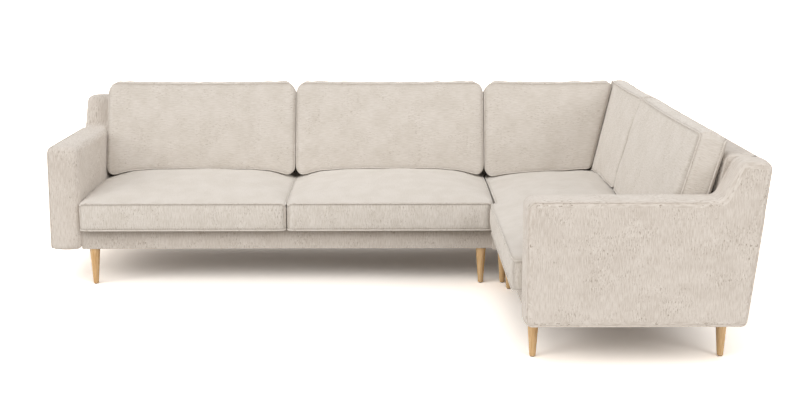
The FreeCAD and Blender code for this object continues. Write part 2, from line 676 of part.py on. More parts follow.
RIGHT_LEGS = (LEG_JOINT_INSET, RETURN_LENGTH - LEG_ARM_INSET)
keep("right_arm_cover", arm_cover(RETURN_SEAT_WIDTH), RETURN_PLACE)
keep("right_base_cover", base_cover(0.0, RETURN_SEAT_WIDTH, 0.0), RETURN_PLACE)
right_back = back_cover(0.0, RETURN_SEAT_WIDTH, 0.0)
keep("right_back_cover", closed_beside_arm(right_back, RETURN_SEAT_WIDTH - END_CLOTH), RETURN_PLACE)
base_frame("right", RETURN_PLACE, END_CLOTH, RETURN_SEAT_WIDTH, BAND_INSIDE,
           RIGHT_LEGS, [], RETURN_SEAT_WIDTH - RAIL_THICKNESS)
back_frame("right", RETURN_PLACE, END_CLOTH, RETURN_SEAT_WIDTH - END_CLOTH)
arm_frame("right", RETURN_PLACE, RETURN_SEAT_WIDTH, RETURN_SEAT_WIDTH - RAIL_THICKNESS)
deck("right", RETURN_PLACE, 0.0, RETURN_SEAT_WIDTH, BASE_RECESS + BAND_TOP_WIDTH)

# Corner section: its two backs meet in a mitre

CORNER_LENGTH = JOINT_INSET + DEPTH
CORNER_FAR = JOINT_INSET + FRAME_REAR
keep("corner_run_cover", back_cover(0.0, CORNER_LENGTH, 0.0), CORNER_PLACE)
keep("corner_return_cover", back_cover(-DEPTH, 0.0, -END_CLOTH), RETURN_PLACE)
for cover_name, on_run in (("corner_run_cover", True), ("corner_return_cover", False)):
    solids[cover_name] = [mitred(solids[cover_name][0], on_run)]
keep("corner_base_cover", corner_base_cover(), CORNER_PLACE)
base_frame("corner", CORNER_PLACE, END_CLOTH, CORNER_FAR, END_CLOTH,
           (LEG_JOINT_INSET, JOINT_INSET + LEG_REAR_INSET), [], JOINT_INSET + DECK_REAR)
back_frame("corner", CORNER_PLACE, END_CLOTH, JOINT_INSET + SEAT_REAR)
back_frame("corner", RETURN_PLACE, -SEAT_REAR, -END_CLOTH)
corner_deck = box(BAND_TOP_WIDTH, JOINT_INSET + DECK_REAR, BAND_TOP_WIDTH, DECK_REAR, FRAME_TOP, BASE_TOP)
keep("corner_deck", corner_deck, CORNER_PLACE)
post = (CORNER_POST_INSET, CORNER_POST_INSET + CORNER_POST_WIDTH)
post_x = (JOINT_INSET + post[0], JOINT_INSET + post[1])
keep("corner_post", box(*post_x, *post, FRAME_TOP, CAVITY_TOP), CORNER_PLACE)
tie_inset = (CORNER_POST_WIDTH - RAIL_THICKNESS) / 2
tie = (post[0] + tie_inset, post[1] - tie_inset)
tie_z = (CAVITY_TOP - BACK_RAIL_HEIGHT, CAVITY_TOP)
keep("corner_post", box(JOINT_INSET + SEAT_REAR, post_x[0], *tie, *tie_z), CORNER_PLACE)
keep("corner_post", box(-post[0], -SEAT_REAR, *tie, *tie_z), RETURN_PLACE)

# Links between the sections

for y in LINK_PLACES:
    section_link(CORNER_PLACE * Placement(Vector(0, y, 0), Rotation()),
                 ("left_side_rails", "left_dust_cover", "corner_side_rails", "corner_dust_cover"))
    section_link(RETURN_PLACE * Placement(Vector(0, y, 0), Rotation()),
                 ("corner_long_rails", "corner_dust_cover", "right_side_rails", "right_dust_cover"))

# Cushions of the long run

for i in range(SEATS_IN_RUN):
    seat_start = ARM_WIDTH + SEAT_WIDTH * i + SIDE_GAP
    seat_end = ARM_WIDTH + SEAT_WIDTH * (i + 1) - SIDE_GAP
    seat_node = "seat_cushion_" + str(i + 1)
    keep(seat_node, seat_cushion(seat_start, seat_end, SEAT_REAR, lambda x: -SEAT_OVERHANG), RUN_PLACE)
    raw_back = back_cushion(seat_start, seat_end, 0.0, 0.0)
    file_back_cushion("back_cushion_" + str(i + 1), raw_back, RUN_PLACE, seat_node)

# Cushions of the corner and the return: one long seat cushion carries three back cushions

STEP_START = SEAT_OVERHANG + SEAT_BULGE + STEP_CLEARANCE
STEP_END = STEP_START + STEP_RUN
INSIDE_FRONT = SEAT_BULGE + SIDE_GAP - JOINT_INSET


def long_seat_front(x):
    """Gives the front seam's depth: drawn back where the long run's last seat stands beside it."""
    if x <= STEP_START:
        return INSIDE_FRONT
    share = min(1.0, (x - STEP_START) / STEP_RUN)
    return INSIDE_FRONT - share * (INSIDE_FRONT + SEAT_OVERHANG)


LONG_END = RETURN_SEAT_WIDTH - SIDE_GAP
keep("seat_cushion_long", seat_cushion(-SEAT_REAR, LONG_END, SEAT_REAR, long_seat_front,
                                       (STEP_START, STEP_END)), RETURN_PLACE)
LEAN_SLOPE = math.tan(math.radians(BACK_LEAN))
corner_end = JOINT_INSET + BACK_FOOT_DEPTH - CORNER_FACE_GAP
file_back_cushion("back_cushion_corner", back_cushion(SIDE_GAP, corner_end, 0.0, LEAN_SLOPE),
                  CORNER_PLACE, "seat_cushion_long")
hidden_start = CORNER_END_GAP - inner_depth(BACK_FOOT_HEIGHT)
hidden_slope = -math.tan(math.radians(CORNER_END_LEAN))
file_back_cushion("back_cushion_inner", back_cushion(hidden_start, -SIDE_GAP, hidden_slope, 0.0),
                  RETURN_PLACE, "seat_cushion_long")
file_back_cushion("back_cushion_return", back_cushion(SIDE_GAP, LONG_END, 0.0, 0.0),
                  RETURN_PLACE, "seat_cushion_long")

os.makedirs("parts", exist_ok=True)
for node, shapes in solids.items():
    pieces = [solid for shape in shapes for solid in shape.Solids]
    whole = pieces[0] if len(pieces) == 1 else Part.makeCompound(pieces)
    whole.exportStep("parts/" + node + ".step")
    print(node, len(pieces), "solids", round(sum(piece.Volume for piece in pieces) / 1e6, 3), "litres")
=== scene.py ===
"""Looks of a corner sofa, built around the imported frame.

Lengths are metres in the frame's own axes: +X along the long run, +Y towards its back, +Z up.
A section's local axes have x along its run, y into its depth from the front plane, and z up.
"""
import logging
import math
from abc import ABC, abstractmethod
from dataclasses import dataclass, field
from enum import Enum
from typing import Callable, ClassVar

import bpy
import numpy as np
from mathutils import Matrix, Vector


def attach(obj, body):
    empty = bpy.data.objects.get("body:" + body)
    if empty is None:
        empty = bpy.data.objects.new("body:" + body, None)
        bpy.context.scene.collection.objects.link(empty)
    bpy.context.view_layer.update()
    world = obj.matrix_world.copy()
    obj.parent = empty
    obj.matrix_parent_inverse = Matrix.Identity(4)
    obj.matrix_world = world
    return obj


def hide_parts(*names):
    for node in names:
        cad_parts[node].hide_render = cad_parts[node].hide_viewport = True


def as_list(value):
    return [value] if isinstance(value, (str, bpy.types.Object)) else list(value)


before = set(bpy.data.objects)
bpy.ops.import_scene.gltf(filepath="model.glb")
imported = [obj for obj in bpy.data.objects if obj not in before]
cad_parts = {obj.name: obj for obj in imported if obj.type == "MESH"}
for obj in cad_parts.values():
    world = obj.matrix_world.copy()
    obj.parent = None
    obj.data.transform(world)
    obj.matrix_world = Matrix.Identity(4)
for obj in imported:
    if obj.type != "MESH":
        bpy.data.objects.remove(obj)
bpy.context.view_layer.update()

LOG = logging.getLogger("sofa")
Array = np.ndarray
Curve = Callable[[Array], Array]
Material = bpy.types.Material
Piece = bpy.types.Object
Socket = bpy.types.NodeSocket


# Sizes of the real sofa, as the frame has them


@dataclass(frozen=True)
class SofaSizes:
    """Main sizes of the sofa."""

    arm_width: float = 0.140
    seat_width: float = 0.936
    return_seat: float = 1.000
    depth: float = 0.875
    joint_inset: float = 0.018
    floor_gap: float = 0.170
    base_top: float = 0.268
    deck_pad: float = 0.010
    base_recess: float = 0.020
    band_top: float = 0.090
    arm_top: float = 0.640
    back_top: float = 0.780
    back_thickness: float = 0.130
    back_rounding: float = 0.032
    padding: float = 0.016
    outer_lean: float = math.radians(6.7)
    inner_lean: float = math.radians(12.0)
    seam_height: float = 0.3923
    seat_bottom: float = 0.2683
    seat_overhang: float = 0.034
    inside_front: float = -0.008
    step_start: float = 0.046
    step_end: float = 0.070
    side_gap: float = 0.001
    back_foot_depth: float = 0.517
    back_foot_height: float = 0.434
    back_lean: float = math.radians(16.0)

    @property
    def run_length(self) -> float:
        """Length of the long run up to the corner."""
        return self.arm_width + 2 * self.seat_width

    @property
    def left_x(self) -> float:
        """World x of the long run's free end."""
        return -(self.run_length + self.joint_inset + self.depth) / 2

    @property
    def front_y(self) -> float:
        """World y of the long run's front plane."""
        return (self.depth + self.return_seat + self.arm_width) / 2 - self.depth

    def outer_depth(self, z: Array) -> Array:
        """Depth of the outer back face at height z: a line that leans out and touches the top rounding."""
        tangent_y = self.depth - self.back_rounding * (1 - math.cos(self.outer_lean))
        tangent_z = self.back_top - self.back_rounding * (1 + math.sin(self.outer_lean))
        return tangent_y + (z - tangent_z) * math.tan(self.outer_lean)

    def inner_depth(self, z: Array) -> Array:
        """Depth of the inner back face at height z: a line that leans back from the seat."""
        return self.depth - self.back_thickness + (z - self.back_top) * math.tan(self.inner_lean)


SOFA = SofaSizes()


@dataclass(frozen=True)
class Place:
    """Where a section's local axes lie in the frame: an origin, and a quarter turn for the return."""

    origin_x: float
    origin_y: float
    turned: bool = False

    def to_world(self, local: Array) -> Array:
        """World points: shifted, and for the return turned by -90 degrees about Z."""
        x, y, z = local[..., 0], local[..., 1], local[..., 2]
        if self.turned:
            return np.stack([self.origin_x + y, self.origin_y - x, z], -1)
        return np.stack([self.origin_x + x, self.origin_y + y, z], -1)

    def to_local(self, world: Array) -> Array:
        """Local points of world points: the same steps backwards."""
        x, y, z = world[..., 0] - self.origin_x, world[..., 1] - self.origin_y, world[..., 2]
        if self.turned:
            return np.stack([-y, x, z], -1)
        return np.stack([x, y, z], -1)


RUN = Place(SOFA.left_x, SOFA.front_y)
CORNER = Place(SOFA.left_x + SOFA.run_length, SOFA.front_y)
RETURN = Place(SOFA.left_x + SOFA.run_length + SOFA.joint_inset, SOFA.front_y, turned=True)

# Legs: their depths in every section, their distance from a joint and from an arm's end, and their places
LEG_ROWS = (0.053, 0.765)
JOINT_LEG = 0.050
ARM_LEG = 0.190
LEFT_LEGS = (ARM_LEG, SOFA.run_length - JOINT_LEG)
CORNER_LEGS = (JOINT_LEG, SOFA.joint_inset + LEG_ROWS[1])
RIGHT_LEGS = (JOINT_LEG, SOFA.return_seat + SOFA.arm_width - ARM_LEG)

# Cushion grids: usual step, the edge of a border or gusset, and its closer rows as shares of that edge
CUSHION_STEP = 0.0125
BORDER_EDGE = 0.012
SEAM_ROWS = (0.0, 0.36)

# Arcs of covers have a point about every 5 mm; lengths and shares below the last two count as none
ARC_STEP = 0.005
TINY = 1e-9
TINY_SHARE = 1e-6


# Small numeric helpers


def blend_in(value: Array, low: float, high: float) -> Array:
    """Smooth step: 0 below low, 1 above high, and 3t^2 - 2t^3 between."""
    t = np.clip((value - low) / (high - low), 0.0, 1.0)
    return t * t * (3 - 2 * t)


def mix(a: Array, b: Array, t: Array) -> Array:
    """Straight mix of a and b by t."""
    return a + (b - a) * t


def wobble(seed: int, place: Array, wavelength: float) -> Array:
    """Soft uneven wave between about -1 and 1: five sines with seeded lengths and phases, averaged.

    Args:
        seed: number that fixes the lengths and phases.
        place: distance along the wave, in metres.
        wavelength: usual distance between crests, in metres.
    """
    draw = np.random.default_rng(seed)
    lengths = wavelength * draw.uniform(0.6, 1.7, 5)
    phases = draw.uniform(0, 2 * math.pi, 5)
    waves = np.sin(place[..., None] * 2 * math.pi / lengths + phases)
    return waves.sum(-1) / 2.2


def dimple(seed: int, u: Array, v: Array, wavelength: float) -> Array:
    """Soft uneven relief between about -1 and 1 over a panel: products of wobbles at a slant."""
    first = wobble(seed, u, wavelength) * wobble(seed + 1, v, wavelength)
    second = wobble(seed + 2, u * 0.8 + v * 0.6, wavelength) * wobble(seed + 3, v * 0.8 - u * 0.6, wavelength)
    return first * 0.5 + second * 0.5


def quarter_round(x: Array, y: Array, half_x: Array, half_y: Array, radius: float) -> tuple[Array, Array]:
    """Points of a rectangle moved so that its four corners are round.

    In the square at each corner, a distance (p, q) from the arc's centre goes to
    (p sqrt(1 - q^2/2r^2), q sqrt(1 - p^2/2r^2)), which carries the square's edge onto the arc.
    """
    p = np.clip(np.abs(x) - (half_x - radius), 0.0, None)
    q = np.clip(np.abs(y) - (half_y - radius), 0.0, None)
    drawn_x = p * np.sqrt(np.clip(1 - q * q / (2 * radius * radius), 0, 1))
    drawn_y = q * np.sqrt(np.clip(1 - p * p / (2 * radius * radius), 0, 1))
    return x - np.sign(x) * (p - drawn_x), y - np.sign(y) * (q - drawn_y)


def from_ends(share: Array, length: float) -> Array:
    """Distance to the nearer end of a run."""
    return np.minimum(share, 1 - share) * length


def falls_away(distance: Array, radius: float) -> Array:
    """Share by which a quarter round falls: 1 at its edge, 0 past its radius, 1 - sqrt(1 - t^2) between."""
    t = np.clip(1 - distance / radius, 0, 1)
    return 1 - np.sqrt(1 - t ** 2)


def seat_rise(share: Array) -> Array:
    """Share of a seat's crown at a share of its depth: s^0.75 (1 - s)^0.35 over its peak at 0.75 / 1.1."""
    peak = 0.75 / 1.1
    full = peak ** 0.75 * (1 - peak) ** 0.35
    return share ** 0.75 * (1 - share) ** 0.35 / full


def even_stops(length: float, step: float) -> Array:
    """Stops from 0 to 1 about a step apart along a length."""
    return np.linspace(0.0, 1.0, max(2, round(length / step)) + 1)


def edged_stops(length: float, step: float, edge: float,
                shares: tuple[float, ...] = (0.0, 0.15, 0.4, 0.7)) -> Array:
    """Stops from 0 to 1 about a step apart, with closer ones at shares of an edge at each end."""
    inner = np.linspace(edge, length - edge, max(2, round((length - 2 * edge) / step)) + 1)
    near = np.array(shares) * edge
    return np.concatenate([near, inner, length - near[::-1]]) / length


def grid_cells(ids: Array) -> Array:
    """Point numbers of each cell's four corners in a grid of point numbers."""
    return np.stack([ids[:-1, :-1], ids[1:, :-1], ids[1:, 1:], ids[:-1, 1:]], -1)


def running_length(line: Array) -> Array:
    """Distance along a line up to each of its points."""
    return np.concatenate([[0], np.cumsum(np.linalg.norm(np.diff(line, axis=0), axis=1))])


def points_along(line: Array, shares: Array) -> Array:
    """Points at shares of a line's length."""
    length = running_length(line)
    return np.stack([np.interp(shares * length[-1], length, run) for run in line.T], 1)


def round_corner(before: Array, corner: Array, after: Array, radius: float, count: int = 0) -> Array:
    """Points of the arc that rounds a corner between two straight lines.

    With the arc's centre c, its first and last points c + f and c + l, and its sweep a, the points are
    c + (sin((1 - t) a) f + sin(t a) l) / sin(a).

    Args:
        before: a point on the line that comes to the corner.
        corner: the sharp corner.
        after: a point on the line that leaves it.
        radius: the arc's radius.
        count: how many points; 0 puts them about ARC_STEP apart, with no fewer than five.
    """
    back, ahead = before - corner, after - corner
    back /= np.linalg.norm(back)
    ahead /= np.linalg.norm(ahead)
    half = math.acos(float(np.clip(back @ ahead, -1, 1))) / 2
    centre = corner + (back + ahead) / np.linalg.norm(back + ahead) * radius / math.sin(half)
    first, last = (corner + way * radius / math.tan(half) - centre for way in (back, ahead))
    sweep = math.pi - 2 * half
    turn = np.linspace(0, 1, count or max(5, round(radius * sweep / ARC_STEP) + 1))[:, None]
    return centre + (np.sin((1 - turn) * sweep) * first + np.sin(turn * sweep) * last) / math.sin(sweep)


def line_points(corners: list[tuple[float, float, float]], step: float) -> Array:
    """Points along an open line whose inner corners are round, about a step apart.

    Args:
        corners: (y, z, radius) of each corner; the first and last have no rounding.
        step: the usual distance between points.
    """
    rows = np.array(corners)
    places, inner = rows[:, :2], zip(rows, rows[1:], rows[2:])
    arcs = [round_corner(before[:2], here[:2], after[:2], here[2]) for before, here, after in inner]
    joined = [places[:1]]
    for part in (*arcs, places[-1:]):
        last = joined[-1][-1]
        count = max(1, round(np.linalg.norm(part[0] - last) / step))
        straight = mix(last, part[0], np.linspace(0, 1, count + 1)[1:, None])
        joined.append(np.concatenate([straight, part[1:]]))
    return np.concatenate(joined)


def ring_quads(rows: int, sides: int, closed: bool) -> tuple[Array, Array, Array]:
    """Quads of a tube of rings, as (row, side, corner) point numbers, with each corner's row and side.

    Args:
        rows: number of rings.
        sides: points round each ring.
        closed: whether the last ring joins the first.
    """
    i, j = np.meshgrid(np.arange(rows if closed else rows - 1), np.arange(sides), indexing="ij")
    row, side = np.stack([i, i + 1, i + 1, i], -1), np.stack([j, j, j + 1, j + 1], -1)
    return row % rows * sides + side % sides, row, side


# Meshes from box lattices


class Grain(Enum):
    """Which way a panel's slubs run: up its height, or sideways along its length."""

    UPRIGHT = ((1, 2), (0, 2), (0, 1))
    SIDEWAYS = ((2, 1), (2, 0), (1, 0))


@dataclass
class Lattice:
    """Outer skin of a box of points, whose six sides share their edges.

    Stops hold the places along each of the box's three runs, from 0 to 1.
    """

    stops: tuple[Array, Array, Array]
    index: Array = field(init=False)
    quads: Array = field(init=False)
    side: Array = field(init=False)
    grid: Array = field(init=False)

    def __post_init__(self) -> None:
        """Numbers the skin's points and lists its quads, all facing outwards."""
        shape = [len(s) for s in self.stops]
        places = np.stack(np.meshgrid(*map(np.arange, shape), indexing="ij"), -1)
        skin = ((places == 0) | (places == np.array(shape) - 1)).any(-1)
        ids = np.full(shape, -1)
        ids[skin] = np.arange(skin.sum())
        self.grid, self.index = ids, places[skin]
        quads, sides = [], []
        for axis in range(3):
            for end in (0, -1):
                sheet = np.take(ids, end, axis=axis)
                found = grid_cells(sheet).reshape(-1, 4)
                turned = (end == 0) != (axis == 1)
                quads.append(found[:, ::-1] if turned else found)
                sides.append(np.full(len(found), axis))
        self.quads, self.side = np.concatenate(quads), np.concatenate(sides)

    @property
    def shares(self) -> tuple[Array, Array, Array]:
        """Place of each skin point along the three runs, from 0 to 1."""
        return tuple(stops[run] for stops, run in zip(self.stops, self.index.T))

    def loop(self, axis: int, end: int) -> Array:
        """Point numbers round the edge of the side at one end (0 or -1) of an axis, in order."""
        face = np.take(self.grid, end, axis=axis)
        return np.concatenate([face[:-1, 0], face[-1, :-1], face[:0:-1, -1], face[0, :0:-1]])

    def weave(self, flat: Array, grain: Grain) -> Array:
        """Cloth coordinates of each quad corner, in metres: across the slubs first, then along them.

        Args:
            flat: points whose own axes lie along the box's runs.
            grain: which way the slubs run.
        """
        axes = np.array(grain.value)[self.side]
        return np.take_along_axis(flat[self.quads], axes[:, None], axis=2)


WEAVE_MAP = "weave"
PRESSED = "pressed"
# Name of the share of painted shade that darkens the cloth in seams' folds and under overhangs
PAINTED_SHADE = "painted_shade"


def add_object(name: str, data: bpy.types.ID | None) -> Piece:
    """Adds an object with its data to the scene."""
    made = bpy.data.objects.new(name, data)
    bpy.context.scene.collection.objects.link(made)
    return made


def new_piece(name: str, points: Array, quads: Array, weave: Array, material: Material,
              pressed: Array | float = 0.0, painted_shade: Array | float = 0.0) -> Piece:
    """Adds a smooth mesh object at the origin.

    Args:
        name: the object's name.
        points: its points.
        quads: point numbers of each face.
        weave: cloth coordinates of each face's corners.
        material: its finish.
        pressed: how far the pile lies flat at each point, from 0 to 1.
        painted_shade: share of painted shade that darkens the cloth at each point, from 0 to 1.
    """
    mesh = bpy.data.meshes.new(name)
    mesh.from_pydata(points.tolist(), [], quads.tolist())
    layer = mesh.uv_layers.new(name=WEAVE_MAP)
    layer.data.foreach_set("uv", weave.astype(np.float32).ravel())
    for label, share in ((PRESSED, pressed), (PAINTED_SHADE, painted_shade)):
        layer = mesh.attributes.new(label, "FLOAT", "POINT")
        layer.data.foreach_set("value", np.broadcast_to(share, len(points)).astype(np.float32))
    mesh.polygons.foreach_set("use_smooth", np.ones(len(quads), bool))
    mesh.materials.append(material)
    mesh.update()
    return add_object(name, mesh)


def declare(piece: Piece, body: str = "root", node: str | None = None, fill: float | None = None,
            sharp: float | None = None) -> Piece:
    """Joins a piece to the body that it moves with, hides the CAD node that it stands for, and marks its
    sharp edges.

    Args:
        piece: the new object.
        body: the body that it moves with.
        node: the CAD node that it stands for, if any.
        fill: how firmly it is padded, if it is; not used.
        sharp: degrees past which an edge is shaded sharp, if any is.

    Returns:
        The piece itself.
    """
    if sharp:
        piece.data.set_sharp_from_angle(angle=math.radians(sharp))
    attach(piece, body)
    if node:
        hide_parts(node)
    return piece


@dataclass
class MeshParts:
    """Several grids gathered into one piece."""

    points: list[Array] = field(default_factory=list)
    quads: list[Array] = field(default_factory=list)
    weave: list[Array] = field(default_factory=list)

    def add(self, points: Array, quads: Array, weave: Array) -> None:
        """Adds one grid's arrays, with its point numbers shifted past those already held."""
        shift = sum(len(p) for p in self.points)
        self.points.append(points)
        self.quads.append(quads + shift)
        self.weave.append(weave)

    def piece(self, name: str, material: Material) -> Piece:
        """Makes one object of all grids."""
        return new_piece(name, *(np.concatenate(a) for a in (self.points, self.quads, self.weave)), material)


def welt(name: str, path: Array, outward: Array, material: Material,
         radius: float = 0.0033, sides: int = 8) -> Piece:
    """Makes a round bead carried along a closed path.

    At each path point the circle stands in the plane of the outward direction, made square to the
    tangent, and of their cross product.

    Args:
        name: the object's name.
        path: points along the bead's middle.
        outward: rough outward direction at each point.
        material: its finish.
        radius: the bead's radius.
        sides: points round the bead.
    """
    tangent = np.roll(path, -1, 0) - np.roll(path, 1, 0)
    tangent /= np.linalg.norm(tangent, axis=1, keepdims=True)
    normal = outward - (outward * tangent).sum(1, keepdims=True) * tangent
    normal /= np.linalg.norm(normal, axis=1, keepdims=True)
    third = np.cross(tangent, normal)
    turn = np.linspace(0, 2 * math.pi, sides, endpoint=False)[None, :, None]
    rings = path[:, None] + radius * (np.cos(turn) * normal[:, None] + np.sin(turn) * third[:, None])
    quads, row, side = ring_quads(len(path), sides, closed=True)
    along = running_length(np.concatenate([path, path[:1]]))[row]
    weave = np.stack([side * (2 * math.pi * radius / sides), along], -1)
    return new_piece(name, rings.reshape(-1, 3), quads.reshape(-1, 4)[:, ::-1],
                     weave.reshape(-1, 4, 2)[:, ::-1], material)


# Materials


def linear(colour: str) -> tuple[float, float, float, float]:
    """Linear RGBA of an sRGB hex colour such as "D9CFC3"."""
    parts = [int(colour[i:i + 2], 16) / 255 for i in (0, 2, 4)]
    return (*[c / 12.92 if c <= 0.04045 else ((c + 0.055) / 1.055) ** 2.4 for c in parts], 1.0)


def add_node(tree: bpy.types.NodeTree, kind: str, links: dict | None = None,
             **settings: object) -> bpy.types.Node:
    """Adds a node with its settings, and its sockets' values or links.

    Args:
        tree: the node tree.
        kind: the node's type name, without "ShaderNode".
        links: for each socket, by name or number, a value or another node's output socket.
        settings: the node's own properties.

    Returns:
        The new node.
    """
    made = tree.nodes.new("ShaderNode" + kind)
    for key, value in settings.items():
        setattr(made, key, value)
    for key, value in (links or {}).items():
        socket = made.inputs[key]
        if isinstance(value, Socket):
            tree.links.new(value, socket)
        else:
            socket.default_value = value
    return made


@dataclass(frozen=True)
class Patterns:
    """Short ways to add the usual pattern nodes to a tree; each gives the new node's output socket."""

    tree: bpy.types.NodeTree

    def noise(self, place: Socket, scale: float, detail: float = 2.0, flat: bool = False,
              **more: float) -> Socket:
        """Cloudy noise; more holds sockets such as Roughness, and flat makes it two-dimensional."""
        links = {"Vector": place, "Scale": scale, "Detail": detail, **more}
        return add_node(self.tree, "TexNoise", links, noise_dimensions="2D" if flat else "3D").outputs[0]

    def stretch(self, place: Socket, scale: tuple[float, ...],
                shift: tuple[float, ...] = (0, 0, 0)) -> Socket:
        """Coordinates scaled, and shifted, along each axis."""
        return add_node(self.tree, "Mapping", {"Vector": place, "Location": shift, "Scale": scale}).outputs[0]

    def sums(self, operation: str, *values: Socket | float) -> Socket:
        """One sum of the given values, such as MULTIPLY."""
        return add_node(self.tree, "Math", dict(enumerate(values)), operation=operation).outputs[0]

    def spread(self, value: Socket, low: float = 0.0, high: float = 1.0,
               start: float = 0.0, end: float = 1.0) -> Socket:
        """Carries start..end onto low..high, and stops there."""
        return add_node(self.tree, "MapRange", {
            "Value": value, "From Min": start, "From Max": end, "To Min": low, "To Max": high}).outputs[0]

    def blend(self, share: Socket | float, first: object, second: object, **settings: object) -> Socket:
        """Mix of two colours."""
        links = {0: share, 6: first, 7: second}
        return add_node(self.tree, "Mix", links, data_type="RGBA", **settings).outputs[2]

    def ramp(self, share: Socket, *stops: tuple[float, str]) -> Socket:
        """Colour ramp with stops of place and sRGB hex colour."""
        made = add_node(self.tree, "ValToRGB", {0: share})
        elements = made.color_ramp.elements
        while len(elements) > 1:
            elements.remove(elements[-1])
        for number, (place, colour) in enumerate(stops):
            element = elements[0] if number == 0 else elements.new(place)
            element.position = place
            element.color = linear(colour)
        return made.outputs[0]

    def bump(self, height: Socket, depth_mm: float, strength: float) -> Socket:
        """Normals of a small relief."""
        links = {"Height": height, "Distance": depth_mm / 1000, "Strength": strength}
        return add_node(self.tree, "Bump", links).outputs[0]

    def attribute(self, name: str) -> Socket:
        """A share that the piece carries at its points."""
        return add_node(self.tree, "Attribute", attribute_name=name).outputs["Fac"]

    def object_place(self) -> Socket:
        """The object's own coordinates."""
        return add_node(self.tree, "TexCoord").outputs["Object"]

    def output(self, surface: Socket) -> None:
        """Joins the finished shader to the material's output."""
        add_node(self.tree, "OutputMaterial", {"Surface": surface})

    def principled(self, **links: object) -> None:
        """Ends the material with a principled shader; an underscore in a socket's name stands for a space."""
        named = {key.replace("_", " "): value for key, value in links.items()}
        self.output(add_node(self.tree, "BsdfPrincipled", named).outputs[0])


def new_material(name: str) -> tuple[Material, Patterns]:
    """Makes a material with an empty node tree."""
    material = bpy.data.materials.new(name)
    material.use_nodes = True
    material.node_tree.nodes.clear()
    return material, Patterns(material.node_tree)


@dataclass(frozen=True)
class Chenille:
    """Chenille upholstery: a thick woven cloth of soft cut-pile yarn with darker threads between.

    It gives the eye pale and dark slubs along one way of the weave, gathered in loose clusters, a dry
    velvety sheen at the edges and hardly any gloss. Where the pile is pressed flat they show less.
    """

    name: str = "chenille"
    pale: str = "E5DED6"
    warm: str = "D4CBC1"
    thread: str = "8E7B65"
    light: str = "F3EEE7"
    # colour of the painted shade in seams' folds and under the seats' overhang
    deep: str = "6E5F4E"
    tint: str = "F2EBE2"
    slub_mm: tuple[float, float] = (3.4, 34.0)
    fleck_mm: tuple[float, float] = (3.2, 16.0)
    cluster_mm: float = 110.0
    nap_mm: float = 95.0
    rib_mm: float = 3.4
    slub_strength: float = 0.55
    fleck_strength: float = 0.80
    # how far the painted shade goes towards the deep colour
    fold_shade: float = 0.55
    relief_mm: float = 0.9

    def build(self) -> Material:
        """Makes the node material on the piece's own cloth coordinates, its pressed share and its share of
        painted shade.
        """
        material, add = new_material(self.name)
        cloth = add_node(add.tree, "UVMap", uv_map=WEAVE_MAP).outputs["UV"]
        show = add.spread(add.attribute(PRESSED), low=1.0, high=0.0)

        def streaks(size: tuple[float, float], shift: float) -> Socket:
            """Noise drawn out along the weave: size is its width and length in millimetres."""
            placed = add.stretch(cloth, (1000 / size[0], 1000 / size[1], 1), (shift, shift * 0.7, 0))
            return add.noise(placed, 1.0, flat=True, Roughness=0.6)

        slub = streaks(self.slub_mm, 0.0)
        fleck, spark = streaks(self.fleck_mm, 3.7), streaks(self.fleck_mm, 9.1)
        cloud, patch = (add.noise(cloth, 1000 / size, flat=True) for size in (self.cluster_mm, self.nap_mm))
        gather = add.spread(cloud, low=0.12, high=1.0, start=0.42, end=0.62)
        nap = add.spread(patch, low=0.30, high=0.62, start=0.35, end=0.65)
        slub_share = add.spread(slub, -self.slub_strength, self.slub_strength, start=0.32, end=0.68)
        slub_seen = add.sums("MULTIPLY", slub_share, show)
        tone = add.sums("ADD", slub_seen, nap)
        colour = add.blend(tone, linear(self.pale), linear(self.warm), clamp_factor=True)
        strength = add.sums("MULTIPLY", add.sums("MULTIPLY", gather, self.fleck_strength), show)
        dark = add.sums("MULTIPLY", add.spread(fleck, start=0.60, end=0.74), strength)
        bright = add.sums("MULTIPLY", add.spread(spark, start=0.58, end=0.74), strength)
        colour = add.blend(bright, colour, linear(self.light))
        colour = add.blend(dark, colour, linear(self.thread))
        # Painted shade: the colour goes towards the deep colour by the piece's share of painted shade
        shade_share = add.sums("MULTIPLY", add.attribute(PAINTED_SHADE), self.fold_shade)
        colour = add.blend(shade_share, colour, linear(self.deep))
        ribs = add.stretch(cloth, (2000 * math.pi / self.rib_mm,) * 2 + (1,))
        split = add_node(add.tree, "SeparateXYZ", {0: ribs}).outputs
        knit = add.sums("MULTIPLY", add.sums("SINE", split[0]), add.sums("SINE", split[1]))
        height = add.sums("MULTIPLY_ADD", slub_seen, -0.5, add.sums("MULTIPLY", knit, 0.10))
        worn = add.sums("MULTIPLY_ADD", dark, -0.4, height)
        add.principled(
            Base_Color=colour, Roughness=add.spread(slub, 0.84, 0.96),
            Normal=add.bump(worn, self.relief_mm, 1.0),
            IOR=1.46, Specular_IOR_Level=0.25, Diffuse_Roughness=0.6,
            Sheen_Weight=0.16, Sheen_Roughness=0.45, Sheen_Tint=linear(self.tint))
        return material


@dataclass(frozen=True)
class PlainCloth:
    """Plain woven or bonded cloth, such as lining and deck cloth.

    It gives the eye an even matt colour with a fine crossed weave.
    """

    name: str
    light: str
    dark: str
    thread_mm: float = 1.6

    def build(self) -> Material:
        """Makes the node material on object coordinates."""
        material, add = new_material(self.name)
        place = add.object_place()
        grit = add.noise(add.stretch(place, (1000 / self.thread_mm,) * 3), 1.0)
        share = add.sums("MULTIPLY", grit, add.noise(place, 14.0, 3.0))
        add.principled(
            Base_Color=add.ramp(share, (0.12, self.dark), (0.4, self.light)),
            Roughness=add.spread(grit, 0.8, 0.95), Normal=add.bump(grit, 0.4, 0.7), Specular_IOR_Level=0.25)
        return material


class Run(Enum):
    """World axis that the grain of a timber part runs along, as pattern scales per axis."""

    X = (0.06, 1.0, 1.0)
    Y = (1.0, 0.06, 1.0)
    Z = (1.0, 1.0, 0.06)


